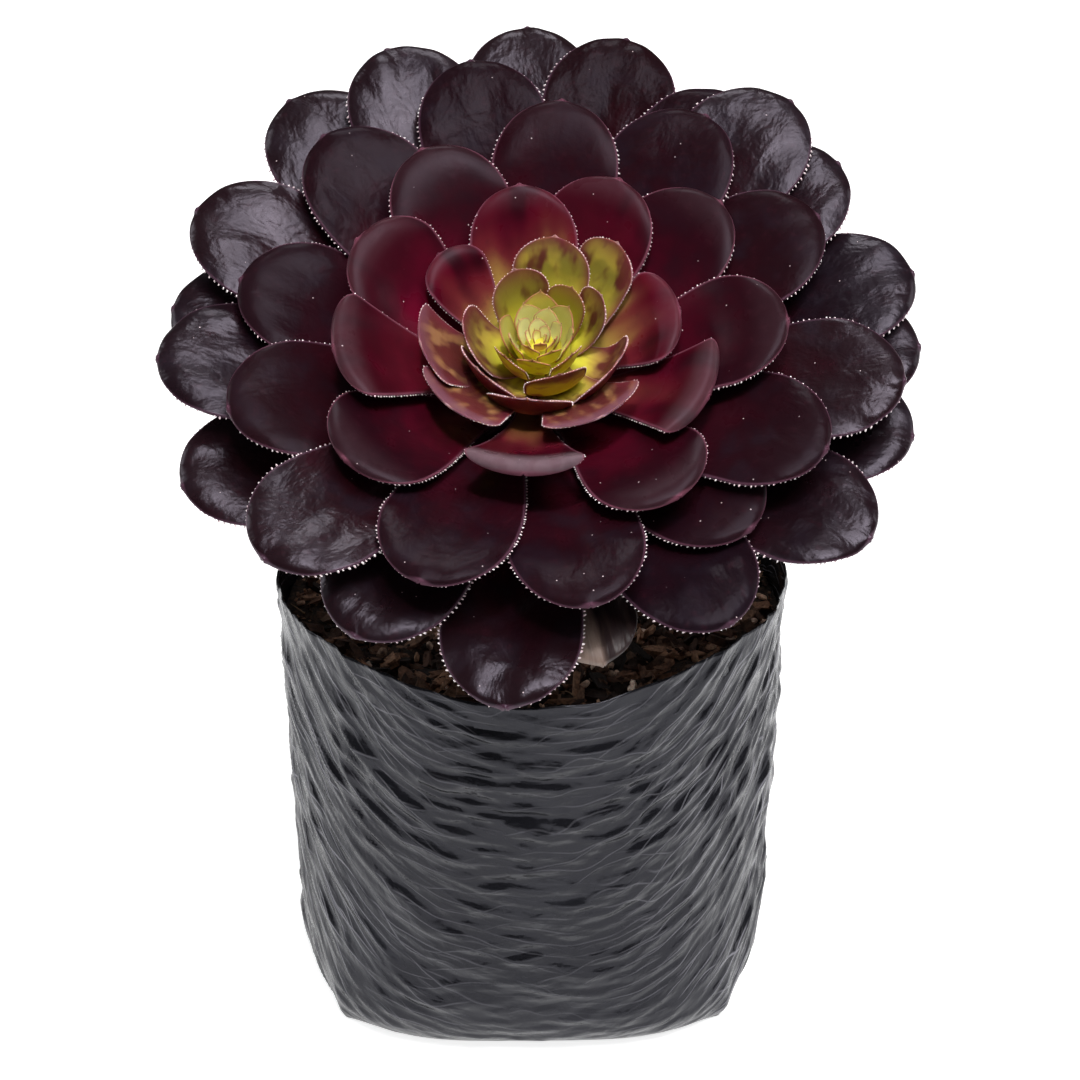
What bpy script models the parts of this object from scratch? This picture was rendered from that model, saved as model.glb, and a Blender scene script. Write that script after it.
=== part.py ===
"""Potted aeonium: one leafy rosette on a woody stalk, standing in soil in a black film grow bag.

Sizes below are in millimetres and degrees. The meshes are written in metres, +Z up.
The origin is the middle of the bag's flat underside. The rosette leans towards -Y.
"""
import math
import random

import bmesh
import bpy
from mathutils import Matrix, Vector
from mathutils.bvhtree import BVHTree

MM = 0.001
GAP = 0.3

BAG_HEIGHT = 131.0
BAG_TOP_RADIUS = 75.0
BAG_WALL = 0.9
BAG_TAPER = 3.4
BAG_FOOT_TUCK = 7.2
BAG_FOOT_TUCK_HEIGHT = 7.0
BAG_LEFT_FULLNESS = 1.5
BAG_FOOT_SQUARENESS = 1.5
BAG_SQUARE_HEIGHT = 22.0
BAG_RIM_WAVE = 2.4
BAG_SEGMENTS = 48
BAG_LEVELS = (0.0, 2.0, 7.0, 18.0, 38.0, 62.0, 86.0, 108.0, 131.0)
BAG_CRUMPLE = 0.6

SOIL_TOP = 119.0
SOIL_FRONT_RISE = 7.0
SOIL_LUMP = 1.3
SOIL_RINGS = (0.0, 0.25, 0.5, 0.75, 0.92)
SOIL_EDGE_DROP = 1.0
BARK_CHIPS = 42
BARK_SIZES = ((3.0, 9.0), (1.8, 4.0), (2.0, 3.4))
PEBBLES = 18
PEBBLE_SIZES = ((2.4, 4.4), (2.2, 4.0), (2.2, 3.4))
CHIP_MARGIN = 9.0
CHIP_STALK_MARGIN = 7.0
CHIP_SEED = 12

STALK_RADIUS = 9.0
NECK_RADIUS = 10.4
CROWN_RADIUS = 11.1
STALK_FOOT = (0.0, 18.0, 90.0)
STALK_KNEES = ((0.0, 20.0, 118.0), (0.0, 22.2, 134.0))
CROWN_DEPTHS = (66.0, 60.0, 40.0)
STALK_SIDES = 14

ROSETTE_HEIGHT = 216.5
ROSETTE_FORWARD = 16.0
ROSETTE_TILT = 32.0

ROOT_RADIUS = 12.0
LOWEST_ROOT = -62.0
HIGHEST_ROOT = -19.0
CROWN_TOP = -15.0
LEAF_RISE = 0.74
LEAF_SAG = 0.0027
LEAF_UPTURN = 0.0145
LEAF_FULL_WIDTH = 40.0
LEAF_WIDTH_GROWTH = 31.0
LEAF_ROOT_WIDTH = 8.4
LEAF_THICK = 1.5
LEAF_EDGE_THICK = 0.9
LEAF_TROUGH = 1.1
LEAF_END_DROOP = 1.8
LEAF_ROWS = (0.0, 0.3, 0.58, 0.82)
LEAF_END_ROWS = (0.0, 0.5, 0.84, 1.0)
LEAF_COLUMNS = (-1.0, -0.55, 0.0, 0.55, 1.0)
HEART_LEAF_ROWS = (0.0, 0.55)
HEART_LEAF_END_ROWS = (0.0, 0.6, 0.92, 1.0)
HEART_LEAF_COLUMNS = (-1.0, -0.4, 0.4, 1.0)
END_WIDTH = 0.1
END_LENGTH = 1.1

# Large leaves in order up the stalk: direction round the rosette, seen from its face and
# counted from the right, and reach from its axis to the leaf's tip.
LARGE_LEAVES = (
    (349, 111), (91, 121), (201, 107), (282, 94), (129, 118), (3, 112), (76, 117),
    (170, 107), (266, 110), (328, 111), (14, 114), (56, 109), (181, 108), (113, 114),
    (302, 102), (35, 110), (155, 109), (242, 104), (353, 106), (47, 112), (101, 100),
    (165, 88), (316, 84), (27, 93), (132, 93), (195, 89), (56, 91), (335, 90),
    (226, 105), (280, 89), (84, 80), (40, 71), (250, 89), (118, 70), (1, 72),
    (306, 68), (221, 69), (64, 57), (151, 58), (335, 54), (191, 57), (95, 48),
    (267, 52), (9, 42), (136, 38),
)
WITHERED_LEAF = 3
NARROWED = {3: 0.62, 44: 0.72}
LONGEST_BRIGHT_LEAF = 75

# Inner leaves of the heart, outermost first, in the same terms, with their widths.
HEART_LEAVES = (
    (228, 37.5, 28), (298, 35.5, 31), (190, 35, 27), (57, 31.5, 20), (80, 27, 23), (262, 25.5, 25),
    (328, 25.5, 25), (222, 23.5, 24), (185, 21.5, 22), (113, 19, 18), (25, 19, 15), (287, 18, 19),
    (52, 16, 14),
)
BUD_LEAVES = 13
BUD_FIRST_DIRECTION = 227.0
BUD_FIRST_REACH = 13.6
BUD_LAST_REACH = 2.8
BUD_FIRST_WIDTH = 16.0
BUD_LAST_WIDTH = 4.4
GOLDEN_ANGLE = 137.5
HEART_TIP_HEIGHT = 13.5
HEART_TIP_GROWTH = 13.0
HEART_BEND = 3.0
HEART_SHIFT = 1.8
HEART_LOWEST_ROOT = -11.5
HEART_HIGHEST_ROOT = -3.1
HEART_ROOT_SINK = 1.2
HEART_LEAST_ROOT = 0.9
HEART_ROOT_WIDTH = 0.55
HEART_SHORTEST_BLADE = 0.4
BUD_SHORTEST_BLADE = 0.55
CORE_PROFILE = ((11.0, -14.7), (10.2, -11.0), (8.0, -7.0), (4.5, -3.6), (1.8, -2.4))
HEART_LEAF_THICK = 1.3
HEART_LEAF_EDGE_THICK = 0.8

BAG_COLOUR = (0.030, 0.032, 0.036, 1.0)
SOIL_COLOUR = (0.045, 0.026, 0.016, 1.0)
STALK_COLOUR = (0.16, 0.11, 0.075, 1.0)
WITHERED_COLOUR = (0.060, 0.045, 0.040, 1.0)
OUTER_COLOUR = (0.022, 0.010, 0.016, 1.0)
MIDDLE_COLOUR = (0.060, 0.006, 0.016, 1.0)
HEART_COLOUR = (0.300, 0.330, 0.040, 1.0)


def clear_scene():
    for item in list(bpy.data.objects):
        bpy.data.objects.remove(item, do_unlink=True)


def make_material(name, colour, roughness):
    material = bpy.data.materials.new(name)
    material.use_nodes = True
    shader = material.node_tree.nodes["Principled BSDF"]
    shader.inputs["Base Color"].default_value = colour
    shader.inputs["Roughness"].default_value = roughness
    shader.inputs["Metallic"].default_value = 0.0
    return material


def add_object(name, shape, material, smooth_angle=50.0):
    """Makes one object in the scene from a bmesh built in millimetres."""
    bmesh.ops.scale(shape, vec=(MM, MM, MM), verts=shape.verts)
    bmesh.ops.recalc_face_normals(shape, faces=shape.faces)
    mesh = bpy.data.meshes.new(name)
    shape.to_mesh(mesh)
    shape.free()
    mesh.shade_smooth()
    mesh.set_sharp_from_angle(angle=math.radians(smooth_angle))
    mesh.materials.append(material)
    item = bpy.data.objects.new(name, mesh)
    bpy.context.scene.collection.objects.link(item)
    return item


def bridge_rings(shape, first, second):
    """Joins two rings of equally many vertices with triangles."""
    count = len(first)
    for i in range(count):
        j = (i + 1) % count
        shape.faces.new((first[i], first[j], second[j]))
        shape.faces.new((first[i], second[j], second[i]))


def close_ring(shape, ring):
    """Closes a ring with a fan of triangles round its middle."""
    middle = sum((v.co for v in ring), Vector()) / len(ring)
    hub = shape.verts.new(middle)
    for i in range(len(ring)):
        shape.faces.new((ring[i], ring[(i + 1) % len(ring)], hub))


def apply_boolean(item, operation, solver, other=None, group=None):
    """Cuts or joins with one object or a collection, applies it, and removes what was used."""
    cut = item.modifiers.new("join", "BOOLEAN")
    cut.operation = operation
    cut.solver = solver
    if group:
        cut.operand_type = "COLLECTION"
        cut.collection = group
    else:
        cut.object = other
    graph = bpy.context.evaluated_depsgraph_get()
    mesh = bpy.data.meshes.new_from_object(item.evaluated_get(graph))
    item.modifiers.clear()
    item.data = mesh
    used = list(group.objects) if group else [other]
    for piece in used:
        bpy.data.objects.remove(piece, do_unlink=True)
    if group:
        bpy.data.collections.remove(group)


def bag_ring_radius(angle, level):
    """Radius of the bag's outer face: round at the top, a rounded square at the foot."""
    half = BAG_TOP_RADIUS - BAG_TAPER * (1.0 - level / BAG_HEIGHT)
    half -= BAG_FOOT_TUCK * math.exp(-level / BAG_FOOT_TUCK_HEIGHT)
    half += 0.5 * BAG_LEFT_FULLNESS * (1.0 - math.cos(angle))
    power = 2.0 + BAG_FOOT_SQUARENESS * math.exp(-level / BAG_SQUARE_HEIGHT)
    across = abs(math.cos(angle)) ** power + abs(math.sin(angle)) ** power
    slack = math.sin(5.0 * angle + level / 25.0)
    fade = min(1.0, level / 18.0) * min(1.0, (BAG_HEIGHT - level) / 20.0)
    return half / across ** (1.0 / power) + BAG_CRUMPLE * slack * fade


def bag_radius(angle, height):
    """Radius of the faceted outer face at any height, straight between the bag's levels."""
    top = next(i for i in range(1, len(BAG_LEVELS)) if height <= BAG_LEVELS[i])
    low, high = BAG_LEVELS[top - 1], BAG_LEVELS[top]
    share = (height - low) / (high - low)
    return (1.0 - share) * bag_ring_radius(angle, low) + share * bag_ring_radius(angle, high)


def bag_angles():
    return [2.0 * math.pi * (i + 0.5) / BAG_SEGMENTS for i in range(BAG_SEGMENTS)]


def rim_lift(angle):
    """The rim stands a little higher half way between front and sides."""
    return BAG_RIM_WAVE * (1.0 - math.cos(4.0 * angle))


def bag_ring(shape, height, inset, follow_rim=False):
    ring = []
    for angle in bag_angles():
        radius = bag_radius(angle, height) - inset
        lift = rim_lift(angle) if follow_rim else 0.0
        x, y = radius * math.cos(angle), radius * math.sin(angle)
        ring.append(shape.verts.new((x, y, height + lift)))
    return ring


def build_bag(material):
    """An open bag with a thin wall: outer rings up, over the rim, and inner rings down."""
    shape = bmesh.new()
    rings = [bag_ring(shape, level, 0.0, level == BAG_HEIGHT) for level in BAG_LEVELS]
    inner = [level for level in BAG_LEVELS if level > BAG_WALL]
    rings += [bag_ring(shape, level, BAG_WALL, level == BAG_HEIGHT) for level in reversed(inner)]
    rings.append(bag_ring(shape, BAG_WALL, BAG_WALL))
    for lower, upper in zip(rings, rings[1:]):
        bridge_rings(shape, lower, upper)
    close_ring(shape, rings[0])
    close_ring(shape, rings[-1])
    return add_object("grow_bag", shape, material)


def soil_height(x, y):
    """Height of the soil: nearly level with the rim in front, lower behind and at the sides."""
    front = max(0.0, -y / BAG_TOP_RADIUS) ** 2
    lumps = math.sin(x / 6.1 + 1.0) * math.cos(y / 5.3) + 0.7 * math.sin(x / 3.7 - y / 4.9)
    return SOIL_TOP + SOIL_FRONT_RISE * front + SOIL_LUMP * lumps


def soil_rim_height(angle):
    radius = BAG_TOP_RADIUS - BAG_WALL
    return soil_height(radius * math.cos(angle), radius * math.sin(angle)) - SOIL_EDGE_DROP


def stalk_path():
    """Middle line of the stalk, from its foot in the soil up to the crown of the rosette."""
    tilt = math.radians(ROSETTE_TILT)
    points = [Vector(STALK_FOOT)] + [Vector(knee) for knee in STALK_KNEES]
    crown = Vector((0.0, -ROSETTE_FORWARD, ROSETTE_HEIGHT))
    down = Vector((0.0, math.sin(tilt), -math.cos(tilt)))
    for depth in CROWN_DEPTHS + (-CROWN_TOP,):
        points.append(crown + down * depth)
    return points


def stalk_tube(shape, radii, points, spread=0.0):
    """A round tube along the stalk's middle line, closed at both ends."""
    rings = []
    for i, point in enumerate(points):
        before = points[max(i - 1, 0)]
        after = points[min(i + 1, len(points) - 1)]
        along = (after - before).normalized()
        side = Vector((1.0, 0.0, 0.0))
        up = along.cross(side)
        ring = []
        for k in range(STALK_SIDES):
            turn = 2.0 * math.pi * k / STALK_SIDES
            round_point = side * math.cos(turn) + up * math.sin(turn)
            ring.append(shape.verts.new(point + round_point * (radii[i] + spread)))
        rings.append(ring)
    for lower, upper in zip(rings, rings[1:]):
        bridge_rings(shape, lower, upper)
    close_ring(shape, rings[0])
    close_ring(shape, rings[-1])


def build_stalk(material):
    shape = bmesh.new()
    radii = [STALK_RADIUS] * 3 + [NECK_RADIUS] + [CROWN_RADIUS] * 3
    stalk_tube(shape, radii, stalk_path())
    return add_object("stalk", shape, material)


def chip(shape_size, place, turn, seed_shape):
    """One bark chip or pebble: a small crystal-sided lump, stretched and turned."""
    shape = bmesh.new()
    if seed_shape == "bark":
        bmesh.ops.create_cube(shape, size=1.0)
    else:
        bmesh.ops.create_icosphere(shape, subdivisions=1, radius=0.5)
    bmesh.ops.scale(shape, vec=shape_size, verts=shape.verts)
    bmesh.ops.rotate(shape, verts=shape.verts, matrix=turn)
    bmesh.ops.translate(shape, verts=shape.verts, vec=place)
    return shape


def scatter_chips(draw, ground, group, count, kind, sizes, material):
    """Strews chips over the open soil, each sunk to about half its depth."""
    placed = []
    while len(placed) < count:
        angle = draw.uniform(0.0, 2.0 * math.pi)
        radius = (BAG_TOP_RADIUS - CHIP_MARGIN) * math.sqrt(draw.uniform(0.03, 1.0))
        x, y = radius * math.cos(angle), radius * math.sin(angle)
        if math.hypot(x, y - STALK_KNEES[0][1]) < STALK_RADIUS + CHIP_STALK_MARGIN:
            continue
        size = [draw.uniform(*limits) for limits in sizes]
        turn = Matrix.Rotation(draw.uniform(0.0, math.pi), 3, "Z")
        turn @= Matrix.Rotation(draw.uniform(-0.5, 0.5), 3, "X")
        place = ground.ray_cast(Vector((x, y, 2.0 * SOIL_TOP)), Vector((0.0, 0.0, -1.0)))[0]
        item = add_object("chip", chip(size, place, turn, kind), material)
        bpy.context.scene.collection.objects.unlink(item)
        group.objects.link(item)
        placed.append(item)


def build_soil(material):
    """A plug that fills the bag, with a lumpy top, bark and pebbles, and a hole for the stalk."""
    shape = bmesh.new()
    inset = BAG_WALL + GAP
    floor = BAG_WALL + GAP
    levels = [floor] + [level for level in BAG_LEVELS if floor < level < SOIL_TOP - 6.0]
    rings = [bag_ring(shape, level, inset) for level in levels]
    for share in reversed(SOIL_RINGS[1:] + (1.0,)):
        ring = []
        for angle in bag_angles():
            edge = soil_rim_height(angle)
            radius = share * (bag_radius(angle, min(edge, BAG_HEIGHT)) - inset)
            x, y = radius * math.cos(angle), radius * math.sin(angle)
            height = edge if share == 1.0 else soil_height(x, y)
            ring.append(shape.verts.new((x, y, height)))
        rings.append(ring)
    rings.reverse()
    for upper, lower in zip(rings, rings[1:]):
        bridge_rings(shape, upper, lower)
    close_ring(shape, rings[0])
    close_ring(shape, rings[-1])
    ground = BVHTree.FromBMesh(shape)
    soil = add_object("soil", shape, material, 30.0)
    draw = random.Random(CHIP_SEED)
    group = bpy.data.collections.new("chips")
    bpy.context.scene.collection.children.link(group)
    scatter_chips(draw, ground, group, BARK_CHIPS, "bark", BARK_SIZES, material)
    scatter_chips(draw, ground, group, PEBBLES, "pebble", PEBBLE_SIZES, material)
    apply_boolean(soil, "UNION", "EXACT", group=group)
    hole = bmesh.new()
    path = stalk_path()[:3]
    path[0] = path[0] - Vector((0.0, 0.0, GAP))
    stalk_tube(hole, [STALK_RADIUS] * 3, path, GAP)
    apply_boolean(soil, "DIFFERENCE", "EXACT", other=add_object("hole", hole, material))
    return soil


def large_leaf_height(radius, place):
    """Height of a large leaf's middle surface; place runs from 0, lowest, to 1, highest."""
    out = radius - ROOT_RADIUS
    root = LOWEST_ROOT + (HIGHEST_ROOT - LOWEST_ROOT) * place
    return root + LEAF_RISE * out + (LEAF_UPTURN * place ** 8 - LEAF_SAG) * out * out


def leaf_width(reach):
    """Longer leaves are wider, up to the full width."""
    return LEAF_FULL_WIDTH * (1.0 - math.exp(-reach / LEAF_WIDTH_GROWTH))


def leaf_rows(root, reach, half, root_half, lean, neck_rows=LEAF_ROWS, end_rows=LEAF_END_ROWS):
    """Rows along a spoon-shaped blade: (distance out, half width, share of the rounded end)."""
    end = min(END_LENGTH * half * math.cos(lean), 0.5 * (reach - root))
    neck = reach - end - root
    rows = []
    for share in neck_rows:
        swell = share * share * (3.0 - 2.0 * share)
        rows.append((root + neck * share, root_half + (half - root_half) * swell, 0.0))
    for share in end_rows:
        width = half * max(math.sqrt(1.0 - share * share), END_WIDTH)
        rows.append((root + neck + end * share, width, share))
    return rows


def blade(shape, direction, rows, columns, height, thick, edge_thick, trough, droop):
    """A closed blade that follows a surface of revolution round the rosette's axis.

    Its upper and lower faces are split into triangles alike.
    """
    turn = math.radians(direction)
    upper, lower = [], []
    for out, half, end in rows:
        slope = math.atan(height(out + 0.5) - height(out - 0.5))
        top_row, low_row = [], []
        for column in columns:
            angle = turn + column * half / out
            rise = height(out) + trough * column * column * (1.0 - 2.0 * end) - droop * end * end
            body = 0.5 * (edge_thick + (thick - edge_thick) * (1.0 - column * column))
            for row, side in ((top_row, 1.0), (low_row, -1.0)):
                reach = out - side * body * math.sin(slope)
                level = rise + side * body * math.cos(slope)
                row.append(shape.verts.new((reach * math.cos(angle), reach * math.sin(angle), level)))
        upper.append(top_row)
        lower.append(low_row)
    last = len(columns) - 1
    for i in range(len(rows) - 1):
        for k in range(last):
            for face in (upper, lower):
                shape.faces.new((face[i][k], face[i + 1][k], face[i + 1][k + 1]))
                shape.faces.new((face[i][k], face[i + 1][k + 1], face[i][k + 1]))
        for k in (0, last):
            shape.faces.new((upper[i][k], upper[i + 1][k], lower[i + 1][k]))
            shape.faces.new((upper[i][k], lower[i + 1][k], lower[i][k]))
    for i in (0, len(rows) - 1):
        for k in range(last):
            shape.faces.new((upper[i][k], upper[i][k + 1], lower[i][k + 1]))
            shape.faces.new((upper[i][k], lower[i][k + 1], lower[i][k]))


def seat_on_rosette(shape, shift=0.0):
    """Leans the rosette's own frame forward and lifts it to its place on the stalk."""
    lean = Matrix.Rotation(math.radians(ROSETTE_TILT), 4, "X")
    lift = Matrix.Translation((shift, -ROSETTE_FORWARD, ROSETTE_HEIGHT))
    bmesh.ops.transform(shape, matrix=lift @ lean, verts=shape.verts)


def build_large_leaves(outer, middle, withered):
    """Each large leaf is a piece of its own, seated just clear of the stalk's crown."""
    count = len(LARGE_LEAVES)
    for i, (direction, reach) in enumerate(LARGE_LEAVES):
        place = i / (count - 1)
        half = 0.5 * leaf_width(reach) * NARROWED.get(i, 1.0)
        name = "leaf_%02d" % (i + 1)
        material = middle if reach < LONGEST_BRIGHT_LEAF else outer
        if i == WITHERED_LEAF:
            name, material = "withered_leaf", withered
        out = reach - ROOT_RADIUS
        lean = math.atan(LEAF_RISE + 2.0 * (LEAF_UPTURN * place ** 8 - LEAF_SAG) * out)
        rows = leaf_rows(ROOT_RADIUS, reach, half, 0.5 * LEAF_ROOT_WIDTH, lean)
        shape = bmesh.new()
        height = lambda radius, place=place: large_leaf_height(radius, place)
        form = (LEAF_THICK, LEAF_EDGE_THICK, LEAF_TROUGH, LEAF_END_DROOP)
        blade(shape, direction, rows, LEAF_COLUMNS, height, *form)
        seat_on_rosette(shape)
        add_object(name, shape, material)


def core_radius(height):
    """Radius of the heart's core at a height, straight between the points of its profile."""
    for (low_radius, low), (high_radius, high) in zip(CORE_PROFILE, CORE_PROFILE[1:]):
        if height <= high:
            share = max(0.0, (height - low) / (high - low))
            return low_radius + (high_radius - low_radius) * share
    return CORE_PROFILE[-1][0]


def heart_leaf_list():
    """Inner leaves as listed, then bud leaves that wind in clockwise at the golden angle."""
    leaves = list(HEART_LEAVES)
    for i in range(BUD_LEAVES):
        share = i / (BUD_LEAVES - 1)
        direction = BUD_FIRST_DIRECTION - GOLDEN_ANGLE * i
        reach = BUD_FIRST_REACH + (BUD_LAST_REACH - BUD_FIRST_REACH) * share
        width = BUD_FIRST_WIDTH + (BUD_LAST_WIDTH - BUD_FIRST_WIDTH) * share
        leaves.append((direction, reach, width))
    return leaves


def build_heart(material):
    """The small inner leaves and the bud, grown as one body on a short core."""
    core = bmesh.new()
    rings = []
    for radius, height in CORE_PROFILE:
        angles = [2.0 * math.pi * k / STALK_SIDES for k in range(STALK_SIDES)]
        rings.append([core.verts.new((radius * math.cos(a), radius * math.sin(a), height)) for a in angles])
    for lower, upper in zip(rings, rings[1:]):
        bridge_rings(core, lower, upper)
    close_ring(core, rings[0])
    close_ring(core, rings[-1])
    seat_on_rosette(core, HEART_SHIFT)
    heart = add_object("heart", core, material)
    group = bpy.data.collections.new("heart_leaves")
    bpy.context.scene.collection.children.link(group)
    leaves = heart_leaf_list()
    for i, (direction, reach, width) in enumerate(leaves):
        share = i / (len(leaves) - 1)
        low = HEART_LOWEST_ROOT + (HEART_HIGHEST_ROOT - HEART_LOWEST_ROOT) * share
        blade_share = HEART_SHORTEST_BLADE if i < len(HEART_LEAVES) else BUD_SHORTEST_BLADE
        root = max(core_radius(low) - HEART_ROOT_SINK, HEART_LEAST_ROOT)
        root = min(root, (1.0 - blade_share) * reach)
        tip = HEART_TIP_HEIGHT * (1.0 - math.exp(-reach / HEART_TIP_GROWTH)) - 1.0

        def height(radius, root=root, reach=reach, low=low, tip=tip):
            run = max(0.0, (radius - root) / (reach - root))
            return low + (tip - low) * run ** HEART_BEND

        lean = math.atan((tip - low) / (reach - root))
        half = 0.5 * width
        shape = bmesh.new()
        root_half = HEART_ROOT_WIDTH * half
        rows = leaf_rows(root, reach, half, root_half, lean, HEART_LEAF_ROWS, HEART_LEAF_END_ROWS)
        form = (HEART_LEAF_THICK, HEART_LEAF_EDGE_THICK, 0.0, 0.0)
        blade(shape, direction, rows, HEART_LEAF_COLUMNS, height, *form)
        seat_on_rosette(shape, HEART_SHIFT)
        item = add_object("heart_leaf", shape, material)
        bpy.context.scene.collection.objects.unlink(item)
        group.objects.link(item)
    apply_boolean(heart, "UNION", "EXACT", group=group)
    return heart


def build_plant():
    clear_scene()
    build_bag(make_material("black_film", BAG_COLOUR, 0.38))
    build_soil(make_material("bark_soil", SOIL_COLOUR, 0.95))
    build_stalk(make_material("woody_stalk", STALK_COLOUR, 0.85))
    outer = make_material("leaf_outer", OUTER_COLOUR, 0.32)
    middle = make_material("leaf_middle", MIDDLE_COLOUR, 0.32)
    withered = make_material("leaf_withered", WITHERED_COLOUR, 0.70)
    build_large_leaves(outer, middle, withered)
    build_heart(make_material("heart_green", HEART_COLOUR, 0.40))


build_plant()
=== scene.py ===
"""Potted aeonium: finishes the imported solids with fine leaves, crinkled film, bark soil and a stage.

Lengths in this file are in millimetres and angles in degrees. The settings that Blender shows, the
lights, the camera and the shaders' lengths are in metres.
"""
import math
import random
from types import SimpleNamespace

import bpy
import numpy as np
from bpy.props import FloatProperty, FloatVectorProperty, IntProperty, PointerProperty
from mathutils import Matrix, Vector, noise


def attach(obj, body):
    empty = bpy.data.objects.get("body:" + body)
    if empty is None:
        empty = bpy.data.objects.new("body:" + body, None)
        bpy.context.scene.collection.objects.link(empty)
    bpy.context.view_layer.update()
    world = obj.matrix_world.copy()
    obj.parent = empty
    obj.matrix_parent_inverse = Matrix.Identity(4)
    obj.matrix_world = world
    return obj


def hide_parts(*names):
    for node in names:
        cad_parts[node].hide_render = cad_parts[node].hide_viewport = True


bl_info = {
    "name": "Potted aeonium",
    "version": (1, 0, 0),
    "blender": (4, 5, 0),
    "location": "View3D > Sidebar > Aeonium",
    "description": "Fine leaves, film bag, bark soil, stalk and stage for the potted aeonium",
    "category": "Add Mesh",
}

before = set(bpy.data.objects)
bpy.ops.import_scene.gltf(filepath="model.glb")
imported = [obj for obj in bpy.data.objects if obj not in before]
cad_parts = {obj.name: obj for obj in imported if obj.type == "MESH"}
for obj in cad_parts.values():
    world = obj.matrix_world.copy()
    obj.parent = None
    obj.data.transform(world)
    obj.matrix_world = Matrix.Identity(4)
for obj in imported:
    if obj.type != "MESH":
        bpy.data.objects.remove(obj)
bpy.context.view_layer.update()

MM = 0.001
FULL_TURN = 2.0 * math.pi

# The rosette's own frame: its axis leans forward and its middle stands on the stalk.
ROSETTE_HEIGHT = 216.5
ROSETTE_FORWARD = 16.0
ROSETTE_TILT = 32.0

# The large leaves' common surface.
ROOT_RADIUS = 12.0
LEAF_ROOTS = (-62.0, -19.0)
LEAF_RISE = 0.74
LEAF_SAG = 0.0027
LEAF_UPTURN = 0.0145
TIP_SHARE = 0.983

# Their outlines and cross-sections.
FULL_WIDTH = 40.0
WIDTH_GROWTH = 31.0
ROOT_WIDTH = 8.4
TROUGH = 1.1
END_DROOP = 1.8
END_LENGTH = 1.1
POINT_LENGTH = 0.9
ROUND_TAPER = 2.2
POINTED_TAPER = 1.25

# Rows of a blade's grid up to its rounded end, rows of that end, and columns.
LEAF_GRID = (19, 12, 17)
HEART_GRID = (11, 9, 13)
# Thickness at the margin, as a share of the thickness in the middle.
LEAF_EDGE = 0.62
HEART_EDGE = 0.45
# Reaches of the large leaves that count as wholly young and wholly old.
YOUNGEST_REACH = 36.0
OLDEST_REACH = 114.0
# Starts of the random draws. The soil's also holds for the noise that shapes its lumps, which
# would follow the clock without it.
LEAF_SEED = 7
HEART_SEED = 21
SOIL_SEED = 5

# Large leaves in order up the stalk: direction round the rosette and reach from its axis.
LARGE_LEAVES = (
    (349, 111), (91, 121), (201, 107), (282, 94), (129, 118), (3, 112), (76, 117),
    (170, 107), (266, 110), (328, 111), (14, 114), (56, 109), (181, 108), (113, 114),
    (302, 102), (35, 110), (155, 109), (242, 104), (353, 106), (47, 112), (101, 100),
    (165, 88), (316, 84), (27, 93), (132, 93), (195, 89), (56, 91), (335, 90),
    (226, 105), (280, 89), (84, 80), (40, 71), (250, 89), (118, 70), (1, 72),
    (306, 68), (221, 69), (64, 57), (151, 58), (335, 54), (191, 57), (95, 48),
    (267, 52), (9, 42), (136, 38),
)
# Places in that list, from 0, of leaves that differ from the rest. The narrowed ones have their
# share of the full width.
WITHERED = 3
CRUMPLED = 8
# The leaf with the fullest painted sheen on the lip at its end.
LIP_SHEEN_LEAF = 42
DULL = (6, 11)
NARROWED = {3: 0.62, 44: 0.72}
# Reaches at which the middle and the outer ring start, and each ring's skin and shine.
FIRST_MIDDLE_REACH = 75
FIRST_OUTER_REACH = 103
LEAF_SKINS = (("inner_leaf_skin", 0.07), ("middle_leaf_skin", 0.055), ("outer_leaf_skin", 0.31))

# Inner leaves of the heart, outermost first: direction, reach, width, share of the grown colour
# and bend, where a larger bend stands a leaf up more steeply at its end.
HEART_LEAVES = (
    (228, 37.5, 29, 0.97, 1.6), (298, 35.5, 31, 0.97, 1.6), (194, 34, 28, 0.93, 2.2),
    (48, 32.5, 19, 0.70, 2.6), (81, 27, 23, 0.64, 2.0), (262, 25.5, 25, 1.0, 6.0),
    (328, 25.5, 25, 0.88, 5.0), (222, 23.5, 24, 0.88, 5.5), (185, 21.5, 20, 0.80, 3.0),
    (113, 18.2, 18, 0.58, 2.2), (25, 19, 14, 0.60, 2.8), (287, 18, 19, 0.52, 7.0),
    (52, 14.6, 13.5, 0.46, 2.2),
)
FANNED_HEART_LEAVES = 3
BUD_LEAVES = 21
BUD_FIRST_DIRECTION = 227.0
BUD_REACH = (13.2, 1.8)
BUD_WIDTH = (12.5, 3.0)
BUD_RISE = 0.6
GOLDEN_ANGLE = 137.5
HEART_SHIFT = 1.8
HEART_ROOTS = (-11.5, -3.6)
HEART_TIP_HEIGHT = 13.5
HEART_TIP_GROWTH = 13.0
HEART_START_SLOPE = 0.10
CORE_PROFILE = ((11.0, -14.7), (10.2, -11.0), (8.0, -7.0), (4.5, -3.6), (1.8, -2.4))

# The bag, as its solid has it.
BAG_HEIGHT = 131.0
BAG_TOP_RADIUS = 75.0
BAG_TAPER = 3.4
BAG_FOOT_TUCK = 7.2
BAG_FOOT_TUCK_HEIGHT = 7.0
BAG_LEFT_FULLNESS = 1.5
BAG_FOOT_SQUARENESS = 1.5
BAG_SQUARE_HEIGHT = 22.0
BAG_RIM_WAVE = 2.4
# The foot's folded corners: direction from either side, depth as a share of the bag's radius,
# width as a sine, and height.
FOOT_CORNER = 41.0
FOOT_CORNER_DEPTH = 0.070
FOOT_CORNER_WIDTH = 0.07
FOOT_CORNER_HEIGHT = 8.0
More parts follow.
